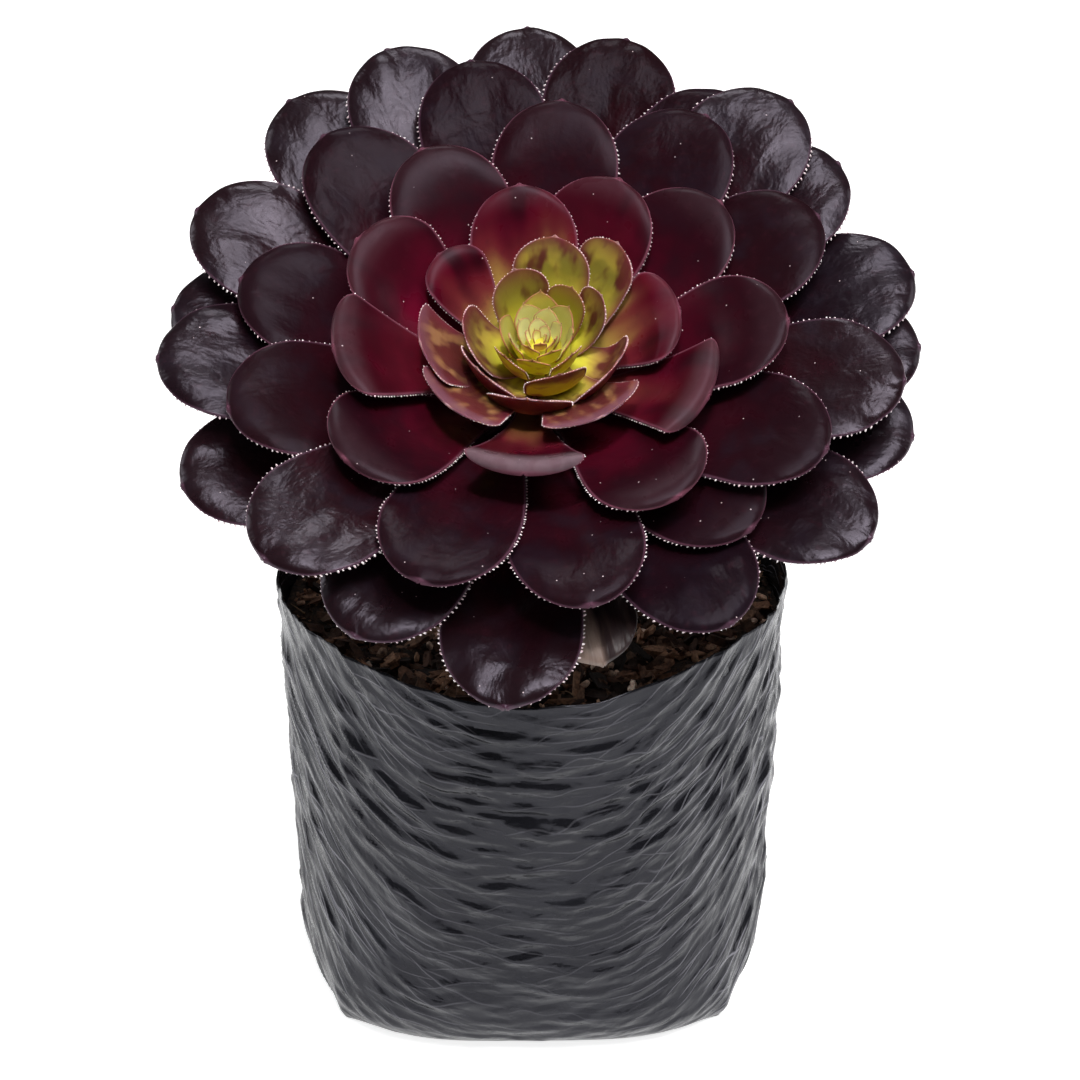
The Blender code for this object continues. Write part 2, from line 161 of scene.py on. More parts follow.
# Levels from which the rim waves and frills, and stations down the inner face: level and inset.
WAVE_START = 108.0
FRILL_START = 122.0
RIM_LEVELS = (BAG_HEIGHT, 129.0, 126.0, FRILL_START)
INNER_STATIONS = [(117.0, 1.2), (108.0, 3.0), (90.0, 3.0), (3.0, 3.0)]

# Families of pleats in the film: slope, spacing, share of the depth and seed. The fine ones are in
# the material only and all of one depth.
PLEATS = (
    (0.0, 10.5, 1.0, 1.0), (0.22, 8.0, 0.8, 21.0), (-0.20, 7.0, 0.8, 41.0), (0.06, 4.2, 0.5, 61.0),
)
FINE_PLEATS = ((0.0, 2.6, 3.0), (0.20, 2.1, 13.0), (-0.19, 2.3, 23.0))
FOLD_SWEEP = 50.0
# Width of the painted highlight along each pleat's crest.
CREST_GLINT_WIDTH = 0.42
CLOSING_SHARE = 0.06
DEEPEST_DENT = -1.1

# The soil and the stalk. The bed lies a little under the height that the strewn pieces follow,
# clear of the film. The lumps' tilt is in radians. The stalk's radii belong to the points of its
# middle line, from below.
SOIL_TOP = 119.0
SOIL_FRONT_RISE = 7.0
SOIL_LUMP = 1.3
BED_DROP = 0.6
FILM_GAP = 3.2
RIM_GAP = 1.4
LUMP_SHAPES = 5
LUMP_TILT = 0.42
DARK_TINTS = ((0.062, 0.026, 0.014), (0.13, 0.062, 0.034), (0.020, 0.009, 0.006), (0.30, 0.165, 0.10))
PALE_TINTS = ((0.70, 0.50, 0.38), (0.45, 0.28, 0.19), (0.85, 0.68, 0.56), (0.30, 0.17, 0.10))
ROOT_TINTS = ((0.30, 0.19, 0.11), (0.50, 0.34, 0.22), (0.16, 0.09, 0.05))
LUMP_ROUGHNESS = {"bark": 0.34, "grit": 0.2, "crumb": 0.5}
STALK_MIDDLE = ((0.0, 18.0, 90.0), (0.0, 20.0, 118.0), (0.0, 22.2, 134.0))
CROWN_DEPTHS = (66.0, 60.0, 40.0, 15.0)
STALK_RADII = (9.0, 9.0, 9.0, 10.4, 11.1, 11.1, 11.1)

# Area lights: name, place, size and power, and whether the plant mirrors them. One that it doesn't
# mirror brings out its colours without a sheen.
AREA_LIGHTS = (
    ("key_softbox", (0.55, -0.60, 2.20), (1.0, 1.4), 35.0, True),
    ("upper_softbox", (0.35, -1.08, 2.00), (1.0, 0.5), 12.0, True),
    ("back_softbox", (0.0, 0.95, 2.00), (0.6, 0.5), 8.0, True),
    ("left_softbox", (-1.5, 0.5, 1.0), (0.5, 1.0), 6.0, True),
    ("right_softbox", (1.6, 0.3, 0.9), (0.5, 1.0), 4.0, True),
    ("front_fill", (0.0, -1.1, 1.5), (1.0, 1.0), 3.0, False),
)
LIGHT_TARGET = (0.0, 0.0, 0.16)
HEART_SPOT_PLACE = (0.0, -0.45, 0.90)
HEART_SPOT_TARGET = (0.002, -0.018, 0.212)
HEART_SPOT_POWER = 74.0
HEART_SPOT_ANGLE = 8.0
WORLD_STRENGTH = 0.07
CAMERA_TARGET = (0.0018, 0.0, 0.1409)
FLOOR_SIZE = 8.0


class LeafSettings(bpy.types.PropertyGroup):
    thickness: FloatProperty(
        name="Leaf thickness", description="Thickness of a large leaf in its middle",
        default=0.0021, min=0.001, max=0.004, unit="LENGTH")
    heart_thickness: FloatProperty(
        name="Heart leaf thickness", description="Thickness of a small inner leaf",
        default=0.0014, min=0.0006, max=0.003, unit="LENGTH")
    wrinkle_depth: FloatProperty(
        name="Wrinkle depth", description="Depth of the creases on the oldest leaves",
        default=0.0012, min=0.0, max=0.003, unit="LENGTH")
    hair_spacing: FloatProperty(
        name="Hair spacing", description="Distance between the short hairs along a leaf's margin",
        default=0.0015, min=0.0008, max=0.01, unit="LENGTH")
    hair_length: FloatProperty(
        name="Hair length", description="Length of a margin hair",
        default=0.0009, min=0.0002, max=0.003, unit="LENGTH")
    outer_colour: FloatVectorProperty(
        name="Oldest leaves", description="Colour of the oldest, lowest leaves",
        default=(0.0068, 0.0030, 0.0054), min=0.0, max=1.0, subtype="COLOR")
    middle_colour: FloatVectorProperty(
        name="Middle leaves", description="Colour of the leaves half way in",
        default=(0.0145, 0.0014, 0.0038), min=0.0, max=1.0, subtype="COLOR")
    inner_colour: FloatVectorProperty(
        name="Inner leaves", description="Colour of the innermost large leaves",
        default=(0.060, 0.0015, 0.0078), min=0.0, max=1.0, subtype="COLOR")
    neck_colour: FloatVectorProperty(
        name="Leaf necks", description="Crimson of the leaves towards the stalk",
        default=(0.150, 0.0032, 0.020), min=0.0, max=1.0, subtype="COLOR")
    margin_colour: FloatVectorProperty(
        name="Margins", description="Colour of the leaves' rounded margins",
        default=(0.15, 0.045, 0.07), min=0.0, max=1.0, subtype="COLOR")
    green_colour: FloatVectorProperty(
        name="Heart green", description="Yellow-green of the heart and of the inner leaf bases",
        default=(0.50, 0.46, 0.036), min=0.0, max=1.0, subtype="COLOR")
    bud_colour: FloatVectorProperty(
        name="Bud", description="Pale lime of the bud",
        default=(1.0, 1.0, 0.50), min=0.0, max=1.0, subtype="COLOR")


class BagSettings(bpy.types.PropertyGroup):
    wall: FloatProperty(
        name="Film thickness", description="Thickness of the film, a little heavier than real",
        default=0.0004, min=0.0001, max=0.002, unit="LENGTH")
    crinkle_depth: FloatProperty(
        name="Crinkle depth", description="Depth of the film's creases",
        default=0.0015, min=0.0, max=0.004, unit="LENGTH")
    colour: FloatVectorProperty(
        name="Film colour", description="Colour of the black film",
        default=(0.0072, 0.0072, 0.0094), min=0.0, max=1.0, subtype="COLOR")


class SoilSettings(bpy.types.PropertyGroup):
    bark_count: IntProperty(
        name="Bark pieces", description="Number of bark splinters on the soil",
        default=900, min=1, max=3000)
    grit_count: IntProperty(
        name="Grit", description="Number of pale stones on the soil",
        default=230, min=1, max=2000)
    crumb_count: IntProperty(
        name="Crumbs", description="Number of fine crumbs on the soil",
        default=2200, min=1, max=8000)
    thread_count: IntProperty(
        name="Root threads", description="Number of thin roots and twigs on the soil",
        default=70, min=1, max=400)


class StageSettings(bpy.types.PropertyGroup):
    floor_colour: FloatVectorProperty(
        name="Floor colour", description="Colour of the plain floor",
        default=(0.86, 0.86, 0.86), min=0.0, max=1.0, subtype="COLOR")
    # The floor's glow is painted light: the floor gives it off itself, and no lamp stands behind it.
    floor_glow: FloatProperty(
        name="Floor glow", description="Light that the backlit floor gives of itself",
        default=0.62, min=0.0, max=3.0)
    camera_distance: FloatProperty(
        name="Camera distance", description="Distance from the camera to the plant",
        default=0.9, min=0.3, max=5.0, unit="LENGTH")
    camera_elevation: FloatProperty(
        name="Camera elevation", description="Angle at which the camera looks down",
        default=math.radians(30.8), min=0.0, max=1.5, subtype="ANGLE")
    camera_lens: FloatProperty(
        name="Lens", description="Focal length on a 36 mm sensor, in millimetres",
        default=100.53, min=20.0, max=300.0)


# Small helpers.

def deselect_all():
    bpy.ops.object.select_all(action="DESELECT")


def select_only(item):
    deselect_all()
    item.select_set(True)
    bpy.context.view_layer.objects.active = item


def join(first, others):
    """Makes one object of the first and the others, which ends up as the first."""
    select_only(first)
    for item in others:
        item.select_set(True)
    bpy.ops.object.join()


def edit_all(*steps):
    """Takes steps, each a mesh operator and its options, on the whole active mesh in edit mode."""
    bpy.ops.object.mode_set(mode="EDIT")
    bpy.ops.mesh.select_all(action="SELECT")
    for step, options in steps:
        step(**options)
    bpy.ops.object.mode_set(mode="OBJECT")


def face_outwards(item, *steps_before):
    select_only(item)
    edit_all(*steps_before, (bpy.ops.mesh.normals_make_consistent, {"inside": False}))


def new_grid(name, columns, rows):
    """A flat grid of columns by rows vertices, with the row and column of each vertex."""
    deselect_all()
    bpy.ops.mesh.primitive_grid_add(x_subdivisions=columns - 1, y_subdivisions=rows - 1, size=1.0)
    item = bpy.context.active_object
    item.name = item.data.name = name
    flat = np.empty(len(item.data.vertices) * 3)
    item.data.vertices.foreach_get("co", flat)
    flat = flat.reshape(-1, 3) + 0.5
    column = np.rint(flat[:, 0] * (columns - 1)).astype(int)
    row = np.rint(flat[:, 1] * (rows - 1)).astype(int)
    return item, row, column


def set_points(item, points):
    """Moves a mesh's vertices to points given in millimetres."""
    item.data.vertices.foreach_set("co", (points * MM).astype(np.float32).ravel())
    item.data.update()


def write_maps(mesh, maps):
    """Writes value pairs, one per vertex, into named UV maps, in place of any that were there."""
    while mesh.uv_layers:
        mesh.uv_layers.remove(mesh.uv_layers[0])
    corner = np.empty(len(mesh.loops), dtype=np.int64)
    mesh.loops.foreach_get("vertex_index", corner)
    for name, pairs in maps.items():
        layer = mesh.uv_layers.new(name=name)
        layer.data.foreach_set("uv", pairs[corner].astype(np.float32).ravel())


def new_object(name, data):
    item = bpy.data.objects.new(name, data)
    bpy.context.scene.collection.objects.link(item)
    return item


def mesh_object(name, points, faces, material, smooth=True):
    """An object from points in millimetres and faces."""
    mesh = bpy.data.meshes.new(name)
    mesh.from_pydata((np.asarray(points) * MM).tolist(), [], faces)
    mesh.update()
    if smooth:
        mesh.shade_smooth()
    mesh.materials.append(material)
    return new_object(name, mesh)


def rolled_sheet(name, points, material, maps=None):
    """A grid rolled up round the upright axis and closed along its seam and at its poles."""
    rows, columns = points.shape[:2]
    item, row, column = new_grid(name, columns, rows)
    set_points(item, points[row, column])
    if maps:
        write_maps(item.data, {key: pairs[row, column] for key, pairs in maps.items()})
    face_outwards(item, (bpy.ops.mesh.remove_doubles, {"threshold": 1e-5}))
    item.data.materials.append(material)
    item.data.shade_smooth()
    return item


def tube_faces(rings, sides, start=0):
    """Faces of a tube whose points come ring by ring, with a flat face at either end."""
    faces = []
    for first in range(start, start + (rings - 1) * sides, sides):
        for k in range(sides):
            a, b = first + k, first + (k + 1) % sides
            faces.append((a, b, b + sides, a + sides))
    faces.append(tuple(reversed(range(start, start + sides))))
    last = start + (rings - 1) * sides
    faces.append(tuple(range(last, last + sides)))
    return faces


def prototype(item):
    """Takes a shaped primitive's points and faces, and removes it."""
    points = np.array([v.co for v in item.data.vertices])
    faces = [tuple(p.vertices) for p in item.data.polygons]
    bpy.data.objects.remove(item, do_unlink=True)
    return points, faces


def copies(prototypes, places):
    """Many copies as one set of points and faces; places hold (kind, 3x3 matrix, position)."""
    points, faces, counts = [], [], []
    start = 0
    for kind, turn, position in places:
        shape, sides = prototypes[kind]
        points.append(shape @ np.asarray(turn).T + position)
        faces += [tuple(i + start for i in side) for side in sides]
        start += len(shape)
        counts.append(len(shape))
    return np.concatenate(points), faces, counts


def finish_piece(item, slot, *nodes):
    """Hands a finished piece to the frame: it rides on the one body and stands for its nodes."""
    select_only(item)
    bpy.ops.object.transform_apply(location=True, rotation=True, scale=True)
    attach(item, "root")
    if nodes:
        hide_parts(*nodes)


def between(ends, share):
    return ends[0] + (ends[1] - ends[0]) * share


def smooth_step(low, high, value):
    share = np.clip((value - low) / (high - low), 0.0, 1.0)
    return share * share * (3.0 - 2.0 * share)


# Materials.

class Graph:
    """A new material and its nodes, wired up by short calls."""

    def __init__(self, name, roughness=0.5, specular=0.5, tint=(1.0, 1.0, 1.0)):
        self.material = bpy.data.materials.new(name)
        self.material.use_nodes = True
        self.tree = self.material.node_tree
        self.shader = self.tree.nodes["Principled BSDF"]
        self.fill(self.shader, {"Roughness": roughness, "Specular IOR Level": specular,
                                "Specular Tint": (*tint, 1.0)})

    def fill(self, item, inputs):
        """Links a node's sockets to other nodes' outputs or gives them plain values."""
        for key, value in inputs.items():
            if isinstance(value, bpy.types.NodeSocket):
                self.tree.links.new(value, item.inputs[key])
            else:
                item.inputs[key].default_value = value

    def node(self, kind, inputs, **settings):
        """A new node's outputs."""
        item = self.tree.nodes.new("ShaderNode" + kind)
        for key, value in settings.items():
            setattr(item, key, value)
        self.fill(item, inputs)
        return item.outputs

    def maths(self, operation, first, second, clamp=False):
        return self.node("Math", {0: first, 1: second}, operation=operation, use_clamp=clamp)[0]

    def plus(self, first, second):
        return self.maths("ADD", first, second)

    def minus(self, first, second, clamp=False):
        return self.maths("SUBTRACT", first, second, clamp)

    def times(self, product, *others):
        for other in others:
            product = self.maths("MULTIPLY", product, other)
        return product

    def swayed(self, value, pattern, amount):
        """A value, pushed up and down by a pattern that runs from 0 to 1."""
        return self.plus(value, self.times(self.minus(pattern, 0.5), amount))

    def span(self, value, low, high, to_low=0.0, to_high=1.0):
        """Eases from to_low to to_high while the value goes from low to high."""
        inputs = {"Value": value, "From Min": low, "From Max": high, "To Min": to_low, "To Max": to_high}
        return self.node("MapRange", inputs, interpolation_type="SMOOTHSTEP")[0]

    def mix(self, share, first, second):
        ends = [end if isinstance(end, bpy.types.NodeSocket) else (*end, 1.0) for end in (first, second)]
        return self.node("Mix", {0: share, 6: ends[0], 7: ends[1]}, data_type="RGBA")[2]

    def coats(self, colour, *coats):
        """A colour with coats on it, each a share and a colour."""
        for share, coat in coats:
            colour = self.mix(share, colour, coat)
        return colour

    def noise(self, vector, scale, detail=3.0, roughness=0.5, distortion=0.0):
        inputs = {"Vector": vector, "Scale": scale, "Detail": detail, "Roughness": roughness,
                  "Distortion": distortion}
        return self.node("TexNoise", inputs)[0]

    def scaled(self, vector, x, y, z=1.0):
        return self.node("Mapping", {"Vector": vector, "Scale": (x, y, z)})[0]

    def shifted(self, place, seed):
        """A patch of pattern of its own for each seed, so that no two are marked alike."""
        shift = self.node("CombineXYZ", {0: seed, 1: seed, 2: seed})[0]
        return self.node("VectorMath", {0: place, 1: shift}, operation="ADD")[0]

    def place(self):
        return self.node("TexCoord", {})["Object"]

    def uv_map(self, name):
        """A UV map as a vector, and its two values."""
        vector = self.node("UVMap", {}, uv_map=name)[0]
        parts = self.node("SeparateXYZ", {0: vector})
        return vector, parts[0], parts[1]

    def finish(self, colour, gloss=None, height=None, bump=0.3, depth=0.001):
        self.fill(self.shader, {"Base Color": colour})
        if gloss is not None:
            self.fill(self.shader, {"Roughness": gloss})
        if height is not None:
            relief = self.node("Bump", {"Strength": bump, "Distance": depth, "Height": height})[0]
            self.fill(self.shader, {"Normal": relief})
        return self.material


def leaf_maps(g):
    """What a leaf's maps say: place, age, seed, distance from the margin and way to the tip."""
    place, _, _ = g.uv_map("place")
    _, age, seed = g.uv_map("kind")
    _, rim, run = g.uv_map("rim")
    return SimpleNamespace(place=place, own=g.shifted(place, seed), age=age, seed=seed, rim=rim, run=run)


def leaf_colour(g, leaves, m, cloud):
    """Crimson neck, dark blade and mauve margin, with a painted mauve sheen on the lip at the leaf's
    end; tan and olive at the youngest leaves' feet.
    """
    old = g.span(m.age, 0.25, 0.85)
    chance = g.node("TexWhiteNoise", {"W": m.seed}, noise_dimensions="1D")[0]
    outer = g.mix(g.times(chance, 0.75), leaves.outer_colour, (0.0135, 0.0030, 0.0040))
    blade = g.mix(g.span(m.age, 0.06, 0.40), leaves.inner_colour, leaves.middle_colour)
    streaks = g.noise(g.scaled(m.own, 1.0, 0.30), 11.0, 1.0)
    mottle = g.noise(m.own, 34.0, 3.0, 0.6)
    dusk = g.times(g.span(streaks, 0.46, 0.66), g.span(m.age, 0.0, 0.6, 0.85, 0.35))
    near = g.swayed(m.run, cloud, 0.5)
    neck = g.times(g.span(near, 0.28, 0.84, 1.0, 0.0), g.span(m.age, 0.10, 0.65, 0.80, 0.14))
    streaked = g.swayed(m.run, streaks, 0.9)
    tan = g.times(g.span(streaked, 0.15, 0.85, 1.0, 0.0), g.span(m.age, 0.06, 0.30, 0.70, 0.0))
    olive = g.times(g.span(streaked, 0.05, 0.60, 1.0, 0.0), g.span(m.age, 0.06, 0.26, 0.9, 0.0))
    bloom = g.times(g.span(cloud, 0.48, 0.72), old, 0.3)
    # Painted sheen: a mauve-grey band on the turned-down lip at each leaf's end, fullest on the leaves
    # given a share of it.
    lip_sheen = g.times(
        g.span(m.run, 0.80, 0.93), g.span(m.age, 0.25, 0.80, 0.85, 0.12),
        g.span(g.uv_map("lip")[1], 0.0, 1.0, 0.12, 1.0), g.span(mottle, 0.35, 0.6, 0.80, 1.0))
    margin = g.mix(old, leaves.margin_colour, (0.075, 0.034, 0.055))
    return g.coats(
        g.mix(old, blade, outer),
        (dusk, (0.010, 0.0016, 0.0035)),
        (neck, leaves.neck_colour),
        (tan, (0.20, 0.070, 0.042)),
        (olive, (0.50, 0.42, 0.06)),
        (bloom, (0.017, 0.012, 0.020)),
        (g.span(mottle, 0.55, 0.75, 0.0, 0.22), (0.040, 0.008, 0.014)),
        (lip_sheen, (0.120, 0.078, 0.092)),
        (g.span(m.rim, 0.015, 0.10, 0.85, 0.0), margin))


def leaf_material(leaves, name, specular):
    """Skin of the large leaves, with pale specks, and creases that deepen as a leaf grows old."""
    g = Graph(name, specular=specular, tint=(0.92, 0.83, 1.0))
    m = leaf_maps(g)
    cloud = g.noise(m.own, 9.0)
    specks = g.node("TexVoronoi", {"Vector": m.own, "Scale": 26.0, "Randomness": 1.0})
    chance = g.node("SeparateColor", {0: specks["Color"]})[0]
    chosen = g.maths("GREATER_THAN", chance, 0.55)
    speck = g.times(g.span(specks["Distance"], 0.030, 0.060, 1.0, 0.0), chosen)
    colour = g.mix(speck, leaf_colour(g, leaves, m, cloud), (0.60, 0.48, 0.50))
    creases = g.noise(g.scaled(m.own, 1.0, 0.62), 13.0, 3.0, 0.5, 0.4)
    relief = g.plus(creases, g.times(g.noise(m.own, 46.0, 2.0), 0.16))
    relief = g.times(relief, g.span(m.age, 0.40, 1.0, 0.12, 1.0))
    height = g.plus(relief, g.times(g.noise(m.own, 120.0), 0.02))
    return g.finish(colour, g.plus(0.19, g.times(cloud, 0.22)), height, 0.45, 0.0020)


def leaf_back_material(leaves):
    """Undersides of the large leaves: dull plum, redder towards the stalk."""
    g = Graph("leaf_underside", 0.5, 0.3)
    m = leaf_maps(g)
    shade = g.span(g.swayed(m.run, g.noise(m.place, 14.0), 0.8), 0.1, 0.9)
    colour = g.mix(shade, (0.085, 0.022, 0.026), leaves.outer_colour)
    colour = g.mix(g.span(m.age, 0.05, 0.5, 0.7, 0.0), colour, (0.12, 0.012, 0.028))
    return g.finish(colour, None, g.noise(m.place, 60.0), 0.4)


def heart_colour(g, leaves, m):
    """Pale lime in the bud, lime at the foot of each leaf, olive above, with soft burgundy blotches."""
    base = g.mix(g.span(m.age, 0.04, 0.46), leaves.bud_colour, leaves.green_colour)
    dusk = g.times(g.span(m.run, 0.25, 0.85), g.span(m.age, 0.25, 0.70, 0.1, 0.85))
    glow = g.span(g.noise(m.own, 11.0, 2.0), 0.45, 0.7, 0.0, 0.35)
    tan = g.times(g.span(m.run, 0.15, 0.6), g.span(m.age, 0.72, 0.95, 0.0, 0.80))
    blotch = g.noise(g.scaled(m.own, 1.3, 0.6), 17.0, 2.0, 0.45)
    limit = g.minus(0.83, g.times(m.age, 0.41))
    limit = g.plus(limit, g.span(m.run, 0.25, 0.75, 0.16, 0.0))
    limit = g.minus(limit, g.span(m.age, 0.80, 0.96, 0.0, 0.03))
    stain = g.times(g.span(g.minus(blotch, limit), -0.12, 0.12), g.span(m.age, 0.40, 0.62, 0.0, 0.92))
    return g.coats(base, (dusk, (0.130, 0.098, 0.022)), (glow, (0.66, 0.50, 0.07)),
                   (tan, (0.26, 0.105, 0.060)), (stain, (0.080, 0.008, 0.014)))


def margin_share(g, m, wide):
    """1 on the margin, falling evenly to 0 at a given distance from it."""
    return g.minus(1.0, g.maths("DIVIDE", m.rim, wide), clamp=True)


def pale_line(g, m):
    """A fine pale line along the margin, as a coat."""
    return g.times(g.span(m.rim, 0.008, 0.022, 0.40, 0.0), g.span(m.age, 0.4, 0.7)), (0.62, 0.38, 0.40)


def finish_young(g, m, colour, gloss=None):
    """Finishes the skin of a thin young leaf, which lets a little light through."""
    g.fill(g.shader, {"Subsurface Weight": 0.25, "Subsurface Scale": 1.0,
                      "Subsurface Radius": (0.004, 0.003, 0.001)})
    return g.finish(colour, gloss, g.noise(m.own, 150.0), 0.2, 0.0003)


def heart_material(leaves):
    """Upper skin of the heart's leaves, with burgundy margins, a painted mauve sheen on the oldest
    leaves' ends and a fine pale line.
    """
    g = Graph("heart_skin", 0.42, 0.14)
    m = leaf_maps(g)
    edge = g.mix(g.span(m.age, 0.25, 0.6), (0.36, 0.14, 0.07), (0.135, 0.018, 0.034))
    lip = g.maths("POWER", margin_share(g, m, g.span(m.age, 0.2, 0.8, 0.06, 0.50)), 1.7)
    # Painted sheen on the ends of the heart's oldest leaves.
    lip_sheen = g.times(g.span(m.run, 0.86, 0.97), g.span(m.age, 0.88, 0.96, 0.0, 0.70))
    colour = g.coats(heart_colour(g, leaves, m), (g.times(lip, 0.95), edge),
                     (lip_sheen, (0.12, 0.055, 0.075)), pale_line(g, m))
    return finish_young(g, m, colour, g.plus(0.34, g.times(g.noise(m.own, 40.0, 2.0), 0.18)))


def heart_back_material():
    """Undersides of the heart's leaves: burgundy under the margin, tan and lime further down."""
    g = Graph("heart_underside", 0.45, 0.22)
    m = leaf_maps(g)
    cloud = g.noise(m.own, 16.0, 2.0)
    young = g.mix(g.span(cloud, 0.5, 0.66), (0.66, 0.58, 0.05), (0.40, 0.22, 0.06))
    grown = g.mix(g.span(cloud, 0.38, 0.62), (0.36, 0.17, 0.09), (0.19, 0.05, 0.045))
    lip = margin_share(g, m, g.span(m.age, 0.35, 1.0, 0.04, 0.42))
    colour = g.coats(g.mix(g.span(m.age, 0.5, 0.82), young, grown),
                     (g.span(m.run, 0.2, 0.7, 0.8, 0.0), (0.45, 0.42, 0.05)),
                     (g.span(lip, 0.0, 0.6, 0.0, 0.95), (0.115, 0.008, 0.028)), pale_line(g, m))
    return finish_young(g, m, colour)


def withered_material():
    """Dry leaf: silky tan on its left side, maroon-black on its right, finely grooved."""
    g = Graph("dry_leaf", 0.45)
    place, side, _ = g.uv_map("place")
    stretched = g.scaled(place, 1.0, 0.10)
    grain = g.noise(stretched, 46.0, 4.0, 0.6, 0.4)
    folds = g.noise(stretched, 13.0, 2.0, 0.5, 0.6)
    left = g.span(g.swayed(side, folds, 0.10), -0.02, 0.015)
    colour = g.mix(left, (0.017, 0.007, 0.008), (0.20, 0.140, 0.115))
    colour = g.mix(g.span(grain, 0.45, 0.70, 0.0, 0.7), colour, (0.055, 0.033, 0.028))
    return g.finish(colour, None, g.plus(grain, g.times(folds, 1.5)), 0.6)


def hair_material():
    g = Graph("margin_hair", 0.45)
    tint = g.span(g.noise(g.place(), 900.0, 1.0), 0.4, 0.6)
    return g.finish(g.mix(tint, (0.95, 0.88, 0.88), (0.80, 0.60, 0.64)))


def film_folds(g, place):
    """Distance round the bag and height along its folds in millimetres, and share of sideways."""
    x, y, z = g.node("SeparateXYZ", {0: place})
    square = g.times(x, x)
    sideways = g.maths("DIVIDE", square, g.plus(g.times(y, y), g.plus(square, 1e-6)))
    sweep = g.times(g.maths("POWER", sideways, 1.5), FOLD_SWEEP)
    across = g.minus(g.times(z, 1.0 / MM), sweep)
    along = g.times(g.maths("ARCTAN2", x, g.times(y, -1.0)), BAG_TOP_RADIUS)
    return along, across, sideways


def fine_pleats(g, along, across):
    """Height of the film's fine pleats, and painted highlight lines along their ridges that fade in and
    out.
    """
    height, glint_lines = 0.0, 0.0
    for slope, period, seed in FINE_PLEATS:
        inputs = {0: g.times(along, 1.0 / 22.0), 1: g.times(across, 1.0 / 26.0), 2: seed}
        place = g.node("CombineXYZ", inputs)[0]
        phase = g.maths("DIVIDE", g.plus(across, g.times(along, slope)), period)
        phase = g.plus(phase, g.times(g.noise(place, 1.0, 2.0), 1.8))
        rise = g.times(g.maths("PINGPONG", phase, 1.0), g.span(g.noise(place, 2.3), 0.42, 0.60))
        height = g.plus(height, rise)
        glint_lines = g.maths("MAXIMUM", glint_lines, g.span(rise, 0.80, 0.97))
    return height, glint_lines


def crest_highlights(g, place):
    """Painted highlights: thin pale lines along the crests of the film's pleats, fading in and out."""
    glint_lines = 0.0
    for i, (_, period, _, seed) in enumerate(PLEATS):
        phase = g.uv_map("pleats_%d" % (1 + i // 2))[1 + i % 2]
        fold = g.maths("PINGPONG", g.times(phase, 2.0), 1.0)
        crest = g.span(fold, 1.0 - 2.0 * CREST_GLINT_WIDTH / period, 1.0)
        fade = g.span(g.noise(g.shifted(place, seed), 36.0, 2.0), 0.48, 0.60)
        glint_lines = g.maths("MAXIMUM", glint_lines, g.times(crest, fade))
    return glint_lines


def film_material(bag):
    """Black film: satin, with fine pleats that follow the folds, and painted highlights along the
    pleats' crests that grow brighter towards the bag's sides.
    """
    g = Graph("black_film", 0.26, 0.34, (0.88, 0.88, 1.0))
    place = g.place()
    along, across, sideways = film_folds(g, place)
    height, glint_lines = fine_pleats(g, along, across)
    # Painted highlights on the crests: faint in front, stronger towards the sides.
    glint_lines = g.times(glint_lines, g.span(sideways, 0.0, 0.7, 0.05, 0.25))
    crest_glints = g.times(crest_highlights(g, place), g.span(sideways, 0.0, 0.7, 0.16, 0.76))
    smudge = g.noise(place, 26.0)
    colour = g.coats(bag.colour, (g.span(smudge, 0.5, 0.8, 0.0, 0.35), (0.020, 0.021, 0.026)),
                     (glint_lines, (0.130, 0.130, 0.148)), (crest_glints, (0.250, 0.245, 0.275)))
    height = g.plus(height, g.times(g.noise(place, 420.0), 0.05))
    return g.finish(colour, g.plus(0.17, g.times(smudge, 0.14)), height, 0.8, 0.00020)


def soil_material():
    g = Graph("soil_bed", 0.95)
    place = g.place()
    crumb = g.noise(place, 420.0, 6.0, 0.7)
    patch = g.span(g.noise(place, 70.0), 0.55, 0.8, 0.0, 0.4)
    colour = g.mix(g.span(crumb, 0.4, 0.66), (0.010, 0.005, 0.003), (0.060, 0.030, 0.016))
    return g.finish(g.mix(patch, colour, (0.10, 0.055, 0.030)), None, crumb, 1.0, 0.002)


def tinted_material(name, roughness, scale, depth):
    """Bark, grit and threads: each copy brings its own tint, broken up by grain."""
    g = Graph(name, roughness)
    tint = g.node("Attribute", {}, attribute_name="tint")["Color"]
    grain = g.noise(g.place(), scale, 5.0, 0.65)
    shade = g.span(grain, 0.25, 0.75, 0.35, 1.35)
    grey = g.node("CombineXYZ", {0: shade, 1: shade, 2: shade})[0]
    colour = g.node("VectorMath", {0: tint, 1: grey}, operation="MULTIPLY")[0]
    return g.finish(colour, None, grain, 0.7, depth)


def stalk_material():
    g = Graph("stalk_bark", 0.85)
    place = g.place()
    bark = g.noise(g.scaled(place, 1.0, 1.0, 3.0), 160.0, 6.0, 0.65, 0.6)
    patch = g.span(g.noise(place, 60.0), 0.5, 0.7, 0.0, 0.5)
    colour = g.mix(g.span(bark, 0.38, 0.66), (0.035, 0.022, 0.016), (0.20, 0.145, 0.10))
    return g.finish(g.mix(patch, colour, (0.12, 0.10, 0.08)), None, bark, 0.9, 0.0015)


